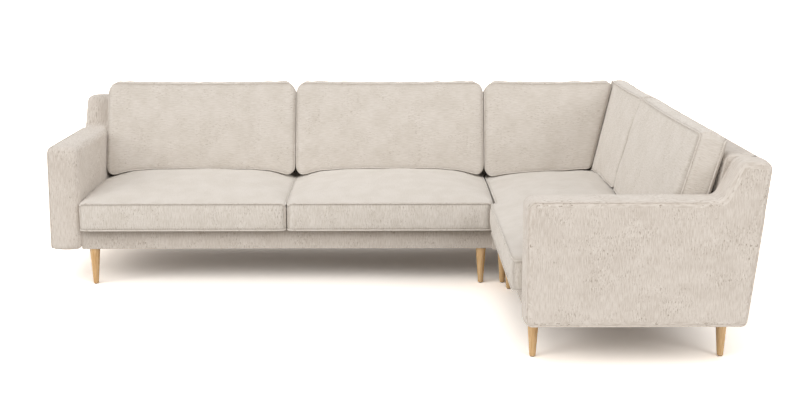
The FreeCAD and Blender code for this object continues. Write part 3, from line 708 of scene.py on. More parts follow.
@dataclass(frozen=True)
class Timber:
    """Timber, such as lacquered beech, planed pine or sanded ply, with growth bands and fine flecks.

    It gives the eye warm streaks along the part's length, and a low satin gloss where it is lacquered.
    """

    name: str
    light: str
    middle: str
    dark: str
    run: Run
    band_mm: float = 7.0
    fleck_mm: float = 1.6
    roughness: float = 0.5
    lacquer: float = 0.0

    def build(self) -> Material:
        """Makes the node material on object coordinates, stretched along the grain."""
        material, add = new_material(self.name)
        grain = add.stretch(add.object_place(), self.run.value)
        bands = add.noise(grain, 1000 / self.band_mm, 3.0, Roughness=0.55, Distortion=0.6)
        wide = add.sums("MULTIPLY_ADD", bands, 0.7, 0.0)
        share = add.sums("MULTIPLY_ADD", add.noise(grain, 22.0), 0.3, wide)
        ground = add.ramp(share, (0.34, self.dark), (0.5, self.middle), (0.64, self.light))
        flecks = add.spread(add.noise(grain, 1000 / self.fleck_mm, 1.0), high=0.35, start=0.6, end=0.72)
        add.principled(
            Base_Color=add.blend(flecks, ground, linear(self.dark)),
            Roughness=add.spread(bands, self.roughness - 0.07, self.roughness + 0.07),
            Normal=add.bump(bands, 0.3, 0.5), IOR=1.5, Coat_Weight=self.lacquer, Coat_Roughness=0.32)
        return material


@dataclass(frozen=True)
class ZincSteel:
    """Zinc-plated steel wire and plate.

    It gives the eye a pale grey metal with a faint crystal mottle.
    """

    name: str = "zinc_plated_steel"

    def build(self) -> Material:
        """Makes the node material on object coordinates."""
        material, add = new_material(self.name)
        place = add.object_place()
        mottle = add_node(add.tree, "TexVoronoi", {"Vector": place, "Scale": 260.0}).outputs["Distance"]
        cloud = add.noise(place, 60.0, 3.0)
        colour = add.ramp(add.sums("MULTIPLY", mottle, cloud), (0.05, "A9ACAE"), (0.45, "C9CBCC"))
        add.principled(Base_Color=colour, Metallic=1.0, Roughness=add.spread(cloud, 0.28, 0.48))
        return material


@dataclass(frozen=True)
class MouldedPlastic:
    """Injection-moulded plastic with a fine spark-eroded texture.

    It gives the eye an even colour and a soft broken highlight.
    """

    name: str
    colour: str
    shade: str
    roughness: float = 0.5

    def build(self) -> Material:
        """Makes the node material on object coordinates."""
        material, add = new_material(self.name)
        place = add.object_place()
        grit = add.noise(place, 900.0)
        add.principled(
            Base_Color=add.ramp(add.noise(place, 40.0), (0.3, self.shade), (0.7, self.colour)),
            Roughness=add.spread(grit, self.roughness - 0.06, self.roughness + 0.06),
            Normal=add.bump(grit, 0.2, 0.4), IOR=1.5)
        return material


class Finishes:
    """Every finish of the sofa, made once."""

    def __init__(self) -> None:
        """Builds the materials."""
        self.cover = Chenille("chenille_cover").build()
        self.cushion = Chenille(
            "chenille_cushion", pale="E6E0D9", warm="D7D0C6", slub_mm=(4.0, 34.0),
            fleck_strength=0.70).build()
        self.lining = PlainCloth("spun_bonded_lining", "5E5145", "463C33", 1.2).build()
        self.deck = PlainCloth("deck_cloth", "CFC5B6", "AFA491").build()
        self.beech = Timber(
            "lacquered_beech", "E5C496", "D9B27E", "C2965F", Run.Z, roughness=0.42, lacquer=0.25).build()
        self.pine_x, self.pine_y, self.pine_z = (
            Timber("planed_pine_" + run.name.lower(), "D9B98A", "CBA672", "AC8350", run, band_mm=11.0).build()
            for run in Run)
        self.ply = Timber(
            "sanded_plywood", "D8BE97", "C9AB80", "A98960", Run.Y, band_mm=9.0, roughness=0.62).build()
        self.steel = ZincSteel().build()
        self.glide = MouldedPlastic("glide_nylon", "4A4038", "3A312A", 0.55).build()
        self.clip = MouldedPlastic("clip_nylon", "D8D5CC", "C6C2B8", 0.45).build()


# Upholstered body


@dataclass(frozen=True)
class Outline:
    """Closed outline of straight lines and round corners in the (y, z) plane, which can be drawn in.

    Corners are (y, z, radius) rows that go round with the inside on one hand. Drawing the outline in
    makes a hollow corner's radius larger and the others' smaller.
    """

    corners: tuple[tuple[float, float, float], ...]
    hollow: int
    arc_steps: int = 14
    least_radius: float = 0.0015

    def arcs(self, inset: float) -> list[Array]:
        """Points along each corner's arc, after every line has moved inwards by an inset.

        Each corner moves along the sum of its two lines' inward normals, by inset / (1 + their dot product).
        """
        rows = np.array(self.corners)
        points, radii = rows[:, :2], rows[:, 2]
        along = np.roll(points, -1, 0) - points
        along /= np.linalg.norm(along, axis=1, keepdims=True)
        inward = np.stack([along[:, 1], -along[:, 0]], 1)
        before = np.roll(inward, 1, 0)
        moved = points + inset * (inward + before) / (1 + (inward * before).sum(1, keepdims=True))
        signs = np.where(np.arange(len(rows)) == self.hollow, -1.0, 1.0)
        radii = np.maximum(radii - signs * inset, self.least_radius)
        near = zip(np.roll(moved, 1, 0), moved, np.roll(moved, -1, 0), radii)
        return [round_corner(*corner, self.arc_steps + 1) for corner in near]

    def side(self, start: int, end: int, shares: Array, inset: float) -> Array:
        """Points at shares of the way from the middle of one corner's arc on to the middle of another's."""
        arcs, half = self.arcs(inset), self.arc_steps // 2
        between = range(start + 1, end if end > start else end + len(arcs))
        run = [arcs[start][half:], *(arcs[n % len(arcs)] for n in between), arcs[end][:half + 1]]
        return points_along(np.concatenate(run), shares)


def filled(bottom: Array, top: Array, front: Array, rear: Array, a: Array, c: Array) -> Array:
    """Fill of a four-sided outline: the mean of the two ruled fills less the fill of its four corners.

    Args:
        bottom: points from front to rear along the bottom.
        top: points from front to rear along the top.
        front: points from bottom to top along the front.
        rear: points from bottom to top along the rear.
        a: shares along bottom and top.
        c: shares along front and rear.
    """
    u, v = a[:, None, None], c[None, :, None]
    ruled_up = (1 - v) * bottom[:, None] + v * top[:, None]
    ruled_back = (1 - u) * front[None] + u * rear[None]
    low, high = (1 - u) * bottom[0] + u * bottom[-1], (1 - u) * top[0] + u * top[-1]
    return ruled_up + ruled_back - ((1 - v) * low + v * high)


@dataclass
class Arm:
    """An upholstered arm whose top sweeps up into the back, with a bead round its outer panel."""

    name: str
    node: str
    place: Place
    start_x: float
    outer_first: bool
    material: Material
    foot_round: float = 0.026
    front_round: float = 0.038
    scoop: tuple[float, float] = (0.695, 0.766)
    scoop_round: float = 0.036
    edge: float = 0.025
    panel_puff: float = 0.0045
    panel_relief: float = 0.0012
    inner_relief: float = 0.0006
    relief_size: tuple[float, float] = (0.87, 0.6)
    relief_wave: float = 0.21
    band_puff: float = 0.0025
    grid_size: tuple[float, float] = (0.90, 0.62)
    step: float = 0.009
    bead_sunk: float = 0.0010
    bead_hidden: float = 0.009
    hidden_from: tuple[float, float] = (0.62, 0.67)
    hidden_rise: float = 0.1

    def outline(self) -> Outline:
        """The arm's side outline.

        Its corners are the front foot, the arm's front top, the scoop's hollow start, the scoop's top, the
        back's rear top and the rear foot.
        """
        top, low, (start, end) = SOFA.back_top, SOFA.floor_gap, self.scoop
        return Outline((
            (0.0, low, self.foot_round), (0.0, SOFA.arm_top, self.front_round),
            (start, SOFA.arm_top, self.scoop_round), (end, top, SOFA.back_rounding),
            (SOFA.outer_depth(top), top, SOFA.back_rounding), (SOFA.outer_depth(low), low, self.foot_round),
        ), hollow=2)

    def thickness_rows(self) -> tuple[Array, Array]:
        """Place across the arm and inset of each row: a quarter round, the band, and a quarter round."""
        turn = np.linspace(0, math.pi / 2, 8)
        rise, inset = self.edge * (1 - np.cos(turn)), self.edge * (1 - np.sin(turn))
        band = np.linspace(self.edge, SOFA.arm_width - self.edge, 10)[1:-1]
        share = (band - self.edge) / (SOFA.arm_width - 2 * self.edge)
        puff = -self.band_puff * np.sin(share * math.pi) ** 0.8
        across = np.concatenate([rise, band, SOFA.arm_width - rise[::-1]])
        return across, np.concatenate([inset, puff, inset[::-1]])

    def build(self) -> list[Piece]:
        """Makes the padded body and the bead round its outer panel."""
        across, insets = self.thickness_rows()
        a, c = (even_stops(size, self.step) for size in self.grid_size)
        outline = self.outline()
        plane = np.stack([
            filled(outline.side(5, 0, 1 - a, inset), outline.side(1, 4, a, inset),
                   outline.side(0, 1, c, inset), outline.side(4, 5, 1 - c, inset), a, c) for inset in insets])
        x = np.broadcast_to(across[:, None, None], plane.shape[:3]).copy()
        swell = (1 - (2 * a - 1) ** 4)[:, None] * (1 - (2 * c - 1) ** 4)[None]
        deep, tall = self.relief_size
        soft = dimple(len(self.name), a[:, None] * deep, c[None] * tall, self.relief_wave)
        outer, inner, sign = (0, -1, -1) if self.outer_first else (-1, 0, 1)
        x[outer] += sign * swell * (self.panel_puff + self.panel_relief * soft)
        x[inner] += sign * swell * self.inner_relief * soft
        full = np.concatenate([self.start_x + x[..., None], plane], -1)
        lattice = Lattice((across / SOFA.arm_width, a, c))
        local = full[tuple(lattice.index.T)]
        body = new_piece(self.name, self.place.to_world(local), lattice.quads,
                         lattice.weave(local, Grain.UPRIGHT), self.material)
        return [declare(body, node=self.node, fill=0.85), self.bead(outline)]

    def bead(self, outline: Outline) -> Piece:
        """Makes the bead at the middle of the outer panel's rounded edge.

        From the scoop to the back's top it sinks into the padding.
        """
        middle = self.edge * (1 - math.sqrt(0.5)) - self.bead_sunk
        shares = np.linspace(0, 1, 120, endpoint=False)
        sides = [(0, 1), (1, 4), (4, 5), (5, 0)]
        loop = np.concatenate([outline.side(start, end, shares, middle) for start, end in sides])
        rising = blend_in(loop[:, 1], SOFA.arm_top - self.hidden_rise, SOFA.arm_top)
        depth = middle + self.bead_hidden * blend_in(loop[:, 0], *self.hidden_from) * rising
        x = self.start_x + (depth if self.outer_first else SOFA.arm_width - depth)
        path = self.place.to_world(np.concatenate([x[:, None], loop], 1))
        side = np.array([-1.0 if self.outer_first else 1.0, 0, 0])
        outward = np.broadcast_to(self.place.to_world(side) - self.place.to_world(0 * side), path.shape)
        return declare(welt(self.name + "_bead", path, outward, self.material))


class ClosedEnd(Enum):
    """Which end of a cover, if any, a wall of cloth closes."""

    NONE = "none"
    START = "start"
    FINISH = "finish"

    def layers(self, index: Array, count: int) -> Array:
        """True for the two layers of points that make the wall."""
        from_end = {ClosedEnd.START: index, ClosedEnd.FINISH: count - 1 - index}
        return from_end[self] < 2 if self in from_end else np.zeros(index.shape, bool)


@dataclass
class Strip:
    """A padded cover laid along a section: an outer and an inner line in the (y, z) plane, carried along x.

    Its ends are functions of depth, so that a cover can be cut to a mitre. They are drawn in a little, as
    cloth is where it turns round a section's end.
    """

    name: str
    node: str
    place: Place
    lines: tuple[Array, Array]
    ends: tuple[Curve, Curve]
    length: float
    material: Material
    end_draw: float = 0.0045
    end_round: float = 0.012
    relief: float = 0.0012
    relief_wave: float = 0.24
    relief_tall: float = 1.3
    relief_fade: float = 8.0
    step: float = 0.014
    fill: float = 0.8
    # painted shade along the cover by height, from 0 to 1
    shaded: Curve | None = None
    closed_end: ClosedEnd = ClosedEnd.NONE

    def build(self) -> Piece:
        """Makes the cover.

        A point is outside + w (inside - outside) at a share along both lines, at an x between the two
        ends. Near an end the outer line moves inwards by the end's rounding. At a closed end the inner
        line falls on the middle between the cover's two legs, which makes a wall of cloth.
        """
        outside, inside = self.lines
        a, up = edged_stops(self.length, self.step, self.end_round), running_length(outside)
        s = up / up[-1]
        lattice = Lattice((a, np.array([0.0, 1.0]), s))
        i, j, k = lattice.index.T
        outer, inner = outside[k], inside[k]
        distance = from_ends(a[i], self.length)
        left = np.clip(1 - distance / self.end_round, 0, 1)
        draw = self.end_draw * falls_away(distance, self.end_round)
        towards = inner - outer
        towards /= np.maximum(np.linalg.norm(towards, axis=1, keepdims=True), TINY)
        soft = dimple(len(self.name) + 7, a[i] * self.length, s[k] * self.relief_tall, self.relief_wave)
        soft *= self.relief * (1 - left) * np.clip(from_ends(s[k], self.relief_fade), 0, 1)
        middle = (outside + outside[::-1])[k] / 2
        inner = np.where(self.closed_end.layers(i, len(a))[:, None], middle, inner)
        flat = np.where((j == 0)[:, None], outer + towards * (draw - soft)[:, None], inner)
        x = mix(*(end(flat[:, 0]) for end in self.ends), a[i])
        weave = lattice.weave(np.stack([x, up[k], up[k]], -1), Grain.UPRIGHT)
        piece = new_piece(self.name, self.place.to_world(np.concatenate([x[:, None], flat], 1)),
                          lattice.quads[:, ::-1], weave[:, ::-1], self.material,
                          painted_shade=self.shaded(flat[:, 1]) if self.shaded else 0.0)
        return declare(piece, node=self.node, fill=self.fill, sharp=50)


def level(x: float) -> Curve:
    """End of a cover at the same x over its whole depth."""
    return lambda y: 0 * y + x


def cover_lines(outside: Array, inside: Array) -> tuple[Array, Array]:
    """Both lines of a cover from their far ends, with as many points on the inner as on the outer."""
    return outside[::-1], points_along(inside, np.linspace(0, 1, len(outside)))[::-1]


@dataclass(frozen=True)
class Backs:
    """The four padded back covers, mitred where they meet in the corner."""

    material: Material
    step: float = 0.016
    board_round: float = 0.004
    wall: float = 0.003

    def line(self, head: float, front: float, rear: float, rounding: float) -> Array:
        """Line up the inner face, over the back and down the outer face.

        Args:
            head: height of the back there.
            front: how far the inner face lies further in.
            rear: how far the outer face lies further in.
            rounding: radius of both top corners.
        """
        inner, outer, low, deck = SOFA.inner_depth, SOFA.outer_depth, SOFA.floor_gap, SOFA.base_top
        return line_points([(inner(deck) + front, deck, 0), (inner(head) + front, head, rounding),
                            (outer(head) - rear, head, rounding), (outer(low) - rear, low, 0)], self.step)

    def build(self) -> list[Piece]:
        """Makes the covers of the left section, the corner's two sides and the right section."""
        top, pad = SOFA.back_top, SOFA.padding
        pads = pad / math.cos(SOFA.inner_lean), pad / math.cos(SOFA.outer_lean)
        lines = cover_lines(self.line(top, 0, 0, SOFA.back_rounding),
                            self.line(top - pad, *pads, self.board_round))
        inset, depth, wide = SOFA.joint_inset, SOFA.depth, SOFA.seat_width
        covers = [
            ("back_left", "left_back_cover", RUN, level(SOFA.arm_width - self.wall), level(SOFA.run_length),
             2 * wide, ClosedEnd.START),
            ("back_corner_run", "corner_run_cover", CORNER, level(0), lambda y: inset + y,
             depth, ClosedEnd.NONE),
            ("back_corner_return", "corner_return_cover", RETURN, lambda y: -y, level(0),
             depth, ClosedEnd.NONE),
            ("back_right", "right_back_cover", RETURN, level(0), level(SOFA.return_seat + self.wall),
             SOFA.return_seat, ClosedEnd.FINISH),
        ]
        return [Strip(name, node, place, lines, (start, end), length, self.material,
                      closed_end=closed).build()
                for name, node, place, start, end, length, closed in covers]


@dataclass(frozen=True)
class Bases:
    """The padded bands under the seats, the corner's cloth sides and the decks that the seats lie on."""

    cover: Material
    deck: Material
    rail_gap: float = 0.008
    band_foot: float = 0.004
    band_head: float = 0.008
    band_step: float = 0.012
    board_round: float = 0.001
    hem: tuple[float, float] = (0.0005, 0.002)
    # Painted shade on the front band: 0.15 over the whole band, rising to 0.60 from 55 mm to 12 mm below its
    # top, under the seats' overhang
    shade: tuple[float, float] = (0.15, 0.60)
    shade_below: tuple[float, float] = (0.055, 0.012)
    deck_rear: float = 0.6502
    edge: float = 0.012
    deck_step: float = 0.03
    deck_drop: float = 0.003
    side_thick: float = 0.004
    side_reach: float = 0.7415
    strip_rear: float = 0.650
    side_step: float = 0.05

    def band(self, name: str, node: str, place: Place, x0: float, x1: float) -> Piece:
        """Makes one front band, which turns over the rail at its top, with painted shade that deepens under
        the seats' overhang.
        """
        low, top, front = SOFA.floor_gap, SOFA.base_top, SOFA.base_recess
        rear, rail, board = front + SOFA.band_top, front + self.rail_gap, top - SOFA.deck_pad
        outside = [(rail, low, 0), (front, low, self.band_foot), (front, top, self.band_head), (rear, top, 0)]
        inside = [(rail + self.hem[0], low + self.hem[1], 0), (rail, board, self.board_round),
                  (rear, board, 0)]
        lines = cover_lines(*(line_points(corners, self.band_step) for corners in (outside, inside)))
        shade_from, shade_to = (top - below for below in self.shade_below)
        return Strip(name, node, place, lines, (level(x0), level(x1)), x1 - x0, self.cover,
                     end_draw=0.003, end_round=0.008, relief=0.0009, fill=0.7,
                     shaded=lambda z: mix(*self.shade, blend_in(z, shade_from, shade_to))).build()

    def deck_pad(self, name: str, node: str, place: Place, low: tuple[float, float],
                 high: tuple[float, float]) -> Piece:
        """Makes one deck's padded board between two corners of its plan, a little lower along its edges."""
        low, high = np.array([*low, SOFA.base_top - SOFA.deck_pad]), np.array([*high, SOFA.base_top])
        size = high - low
        plan_stops = (edged_stops(length, self.deck_step, self.edge) for length in size[:2])
        lattice = Lattice((*plan_stops, np.linspace(0, 1, 3)))
        u, v, w = lattice.shares
        near = np.minimum(from_ends(u, size[0]), from_ends(v, size[1]))
        local = low + np.stack([u, v, w], 1) * size
        local[:, 2] -= self.deck_drop * falls_away(near, self.edge) * (w > 0.9)
        weave = lattice.weave(local, Grain.UPRIGHT)
        piece = new_piece(name, place.to_world(local), lattice.quads, weave, self.deck)
        return declare(piece, node=node, fill=0.7, sharp=45)

    def corner_cloth(self) -> Piece:
        """Makes the cloth on the corner's two joint sides, with its strips along the deck's edges."""
        low, top, seat = SOFA.floor_gap, SOFA.base_top, SOFA.base_top - SOFA.deck_pad
        side, reach, rear, band = self.side_thick, self.side_reach, self.strip_rear, SOFA.band_top
        boards = [
            ((0.0, 0.0, low), (side, reach, seat)),
            ((side, 0.0, low), (reach + SOFA.joint_inset, side, seat)),
            ((0.0, 0.0, seat), (band, rear, top)),
            ((band, 0.0, seat), (SOFA.joint_inset + rear, band, top)),
        ]
        parts = MeshParts()
        for first, last in np.array(boards):
            size = last - first
            lattice = Lattice(tuple(even_stops(length, self.side_step) for length in size))
            local = first + np.stack(lattice.shares, 1) * size
            parts.add(CORNER.to_world(local), lattice.quads, lattice.weave(local, Grain.UPRIGHT))
        piece = parts.piece("base_corner", self.cover)
        return declare(piece, node="corner_base_cover", fill=0.5, sharp=45)

    def build(self) -> list[Piece]:
        """Makes the bands, the corner's cloth and the decks."""
        arm, run, seat, rear = SOFA.arm_width, SOFA.run_length, SOFA.return_seat, self.deck_rear
        front, band = SOFA.base_recess + SOFA.band_top, SOFA.band_top
        return [
            self.band("base_left", "left_base_cover", RUN, arm, run),
            self.band("base_right", "right_base_cover", RETURN, 0.0, seat),
            self.corner_cloth(),
            self.deck_pad("deck_left", "left_deck", RUN, (arm, front), (run, rear)),
            self.deck_pad("deck_right", "right_deck", RETURN, (0.0, front), (seat, rear)),
            self.deck_pad("deck_corner", "corner_deck", CORNER, (band, band),
                          (SOFA.joint_inset + rear, rear)),
        ]


@dataclass(frozen=True)
class DustCover:
    """Bonded cloth stapled under a section's frame, with a round hole for each leg.

    The grid round a leg leaves out a square, which quads from its edge to the hole's rim close.
    """

    name: str
    node: str
    place: Place
    low: tuple[float, float]
    high: tuple[float, float]
    rails: tuple[str, ...]
    leg_xs: tuple[float, ...] = ()
    sag: float = 0.0020
    hole: float = 0.0243
    block: float = 0.040
    step: float = 0.020
    fold: float = 0.0006
    fold_wave: float = 0.19
    fold_seed: int = 41
    height: float = 0.1716
    thickness: float = 0.0006

    def square(self, leg: tuple[float, float], axis: int) -> tuple[float, float]:
        """Ends of a leg's square along one axis, kept within the cloth."""
        return max(self.low[axis], leg[axis] - self.block), min(self.high[axis], leg[axis] + self.block)

    def build(self, material: Material) -> Piece:
        """Makes the stretched cloth, which hangs a little between its stapled edges."""
        legs = [(x, y) for x in self.leg_xs for y in LEG_ROWS]
        stops = []
        for axis in range(2):
            ends = [self.low[axis], self.high[axis]]
            marks = sorted({*ends, *(end for leg in legs for end in self.square(leg, axis))})
            runs = [np.linspace(a, b, max(2, round((b - a) / self.step) + 1))[:-1]
                    for a, b in zip(marks, marks[1:])]
            stops.append(np.concatenate([*runs, marks[-1:]]))
        plan = np.stack(np.meshgrid(*stops, indexing="ij"), -1)
        ids = np.arange(plan[..., 0].size).reshape(plan.shape[:2])
        plan = plan.reshape(-1, 2)
        cells = grid_cells(ids)
        kept = np.ones(cells.shape[:2], bool)
        rings, quads = [plan], []
        for leg in legs:
            i0, i1, j0, j1 = (int(np.argmin(np.abs(stops[axis] - end)))
                              for axis in range(2) for end in self.square(leg, axis))
            kept[i0:i1, j0:j1] = False
            edge = np.concatenate([ids[i0:i1, j0], ids[i1, j0:j1], ids[i1:i0:-1, j1], ids[i0, j1:j0:-1]])
            spoke = plan[edge] - leg
            spoke /= np.linalg.norm(spoke, axis=1, keepdims=True)
            rim = np.arange(len(edge)) + sum(len(r) for r in rings)
            rings.append(leg + self.hole * spoke)
            quads.append(np.stack([edge, np.roll(edge, -1), np.roll(rim, -1), rim], 1))
        flat, quads = np.concatenate(rings), np.concatenate([cells[kept], *quads])
        size = np.array(self.high) - self.low
        belly = np.clip(np.sin(math.pi * ((flat - self.low) / size)).prod(1), 0, 1) ** 0.6
        folds = self.fold * wobble(self.fold_seed, flat.sum(1), self.fold_wave) * belly
        local = np.column_stack([flat, self.height - self.sag * belly + folds])
        piece = new_piece(self.name, self.place.to_world(local), quads, flat[quads], material)
        wall = piece.modifiers.new("thickness", "SOLIDIFY")
        wall.thickness, wall.offset = self.thickness, 0
        declare(piece, node=self.node)
        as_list(self.rails)
        return piece


@dataclass(frozen=True)
class DustCovers:
    """The five dust covers: one under each base and one under each arm."""

    material: Material
    rear: float = 0.7912
    arm_rear: float = 0.7772
    front: float = 0.028
    arm_front: float = 0.030
    rim: float = 0.004
    arm_rim: float = 0.016
    arm_sag: float = 0.0005

    def under_arm(self, side: str, place: Place, start: float) -> Piece:
        """Makes the cover under the arm of one side, which starts at an x."""
        low = start + self.arm_rim, self.arm_front
        high = start + SOFA.arm_width - self.arm_rim, self.arm_rear
        return DustCover(f"dust_{side}_arm", f"{side}_dust_cover", place, low, high, (f"{side}_arm_rails",),
                         sag=self.arm_sag).build(self.material)

    def under_base(self, side: str, place: Place, low: tuple[float, float], end: float,
                   legs: tuple[float, ...]) -> Piece:
        """Makes the cover under one section, from its low corner to an end along x, round its legs."""
        rails = f"{side}_long_rails", f"{side}_side_rails"
        return DustCover(f"dust_{side}", f"{side}_dust_cover", place, low, (end, self.rear), rails,
                         legs).build(self.material)

    def build(self) -> list[Piece]:
        """Makes all five."""
        seat, rim = SOFA.return_seat, self.rim
        return [
            self.under_base("left", RUN, (SOFA.arm_width, self.front), SOFA.run_length - rim, LEFT_LEGS),
            self.under_arm("left", RUN, 0.0),
            self.under_base("corner", CORNER, (rim, rim), SOFA.joint_inset + self.rear, CORNER_LEGS),
            self.under_base("right", RETURN, (rim, self.front), seat, RIGHT_LEGS),
            self.under_arm("right", RETURN, seat),
        ]


# Cushions


def at_start(share: Array) -> Array:
    """Whether points lie at the start of a run."""
    return share < TINY_SHARE


def at_end(share: Array) -> Array:
    """Whether points lie at the end of a run."""
    return share > 1 - TINY_SHARE


@dataclass(frozen=True)
class Pucker:
    """Small uneven waves of the cloth: their own seed, height, wavelength and reach from a seam."""

    seed: int
    height: float
    wavelength: float
    reach: float = math.inf

    def waves(self, seed: int, along: Array, distance: Array | float = 0.0) -> Array:
        """Waves along a seam, which fade by e^(-distance / reach)."""
        return self.height * wobble(seed + self.seed, along, self.wavelength) * np.exp(-distance / self.reach)

    def relief(self, seed: int, u: Array, v: Array) -> Array:
        """Waves both ways over a panel."""
        return self.height * dimple(seed + self.seed, u, v, self.wavelength)


@dataclass
class Cushion(ABC):
    """A loose cushion with beaded seams round two of its panels.

    It is shaped in straight axes of its own, filled there by a cloth simulation that holds its seams,
    and then settled into its place in the sofa. Its seams stand at both ends of one of its lattice's
    axes, and each bead's name goes with its end, 0 or -1.
    """

    name: str
    place: Place
    material: Material
    seed: int
    start_x: float
    end_x: float
    fill: float = 0.7
    draw: float = 0.0035
    draw_at: float = 0.0045
    draw_width: float = 0.0035
    shade_width: float = 0.0065
    lattice: Lattice = field(init=False)
    plan: Array = field(init=False)
    obj: Piece = field(init=False)
    grain: ClassVar[Grain]
    seam_axis: ClassVar[int]
    beads: ClassVar[dict[str, int]]

    @abstractmethod
    def start_shape(self, share: float) -> Array:
        """Points in the cushion's own axes, with its panels crowned by a share of their full height."""

    @abstractmethod
    def pressed(self) -> Array:
        """How far the pile lies flat at each point."""

    @abstractmethod
    def painted_shade(self) -> Array:
        """How much painted shade darkens each point, most in the seams' folds."""

    @abstractmethod
    def trim(self, points: Array) -> Array:
        """Points pressed flat where the cushion meets what lies beside it."""

    @abstractmethod
    def settle(self, points: Array) -> Array:
        """World points of points in the cushion's own axes."""

    @property
    def length(self) -> float:
        """Length along the section."""
        return self.end_x - self.start_x

    @property
    def node(self) -> str:
        """The CAD node, such as seat_cushion_1 for seat_1; its body has the cushion's own name."""
        return self.name.replace("_", "_cushion_")

    def held(self) -> Array:
        """Which points the seams hold, as booleans."""
        held = np.zeros(len(self.lattice.index), bool)
        for end in self.beads.values():
            held[self.lattice.loop(self.seam_axis, end)] = True
        return held

    def groove(self, share: Array, length: float) -> Array:
        """How deep the cloth is drawn in beside the seams at both ends of a run: most 4 mm away from them."""
        return self.draw * np.exp(-((from_ends(share, length) - self.draw_at) / self.draw_width) ** 2)

    def fold(self, share: Array, length: float) -> Array:
        """Share of painted shade near both ends of a run: 1 at the seam, hardly any 12 mm away."""
        return np.exp(-(from_ends(share, length) / self.shade_width) ** 2)

    def prepare(self, share: float) -> None:
        """Makes the object that the simulation fills."""
        self.plan = self.start_shape(share)
        weave = self.lattice.weave(self.plan, self.grain) + np.array([self.seed * 1.37, self.seed * 0.71])
        self.obj = new_piece(self.name, self.plan, self.lattice.quads, weave, self.material,
                             self.pressed(), self.painted_shade())

    def finish(self, blown: Array) -> list[Piece]:
        """Settles the filled cushion's points, adds its beads and declares all."""
        world = self.settle(self.trim(blown))
        self.obj.data.vertices.foreach_set("co", world.astype(np.float32).ravel())
        self.obj.data.update()
        smooth = self.obj.modifiers.new("smooth", "SUBSURF")
        smooth.levels = smooth.render_levels = 1
        made = [declare(self.obj, self.name, self.node, self.fill)]
        for label, end in self.beads.items():
            path = world[self.lattice.loop(self.seam_axis, end)]
            for _ in range(2):
                path = (np.roll(path, 1, 0) + 2 * path + np.roll(path, -1, 0)) / 4
            bead = welt(f"{self.name}_{label}", path, path - world.mean(0), self.material)
            made.append(declare(bead, self.name))
        return made


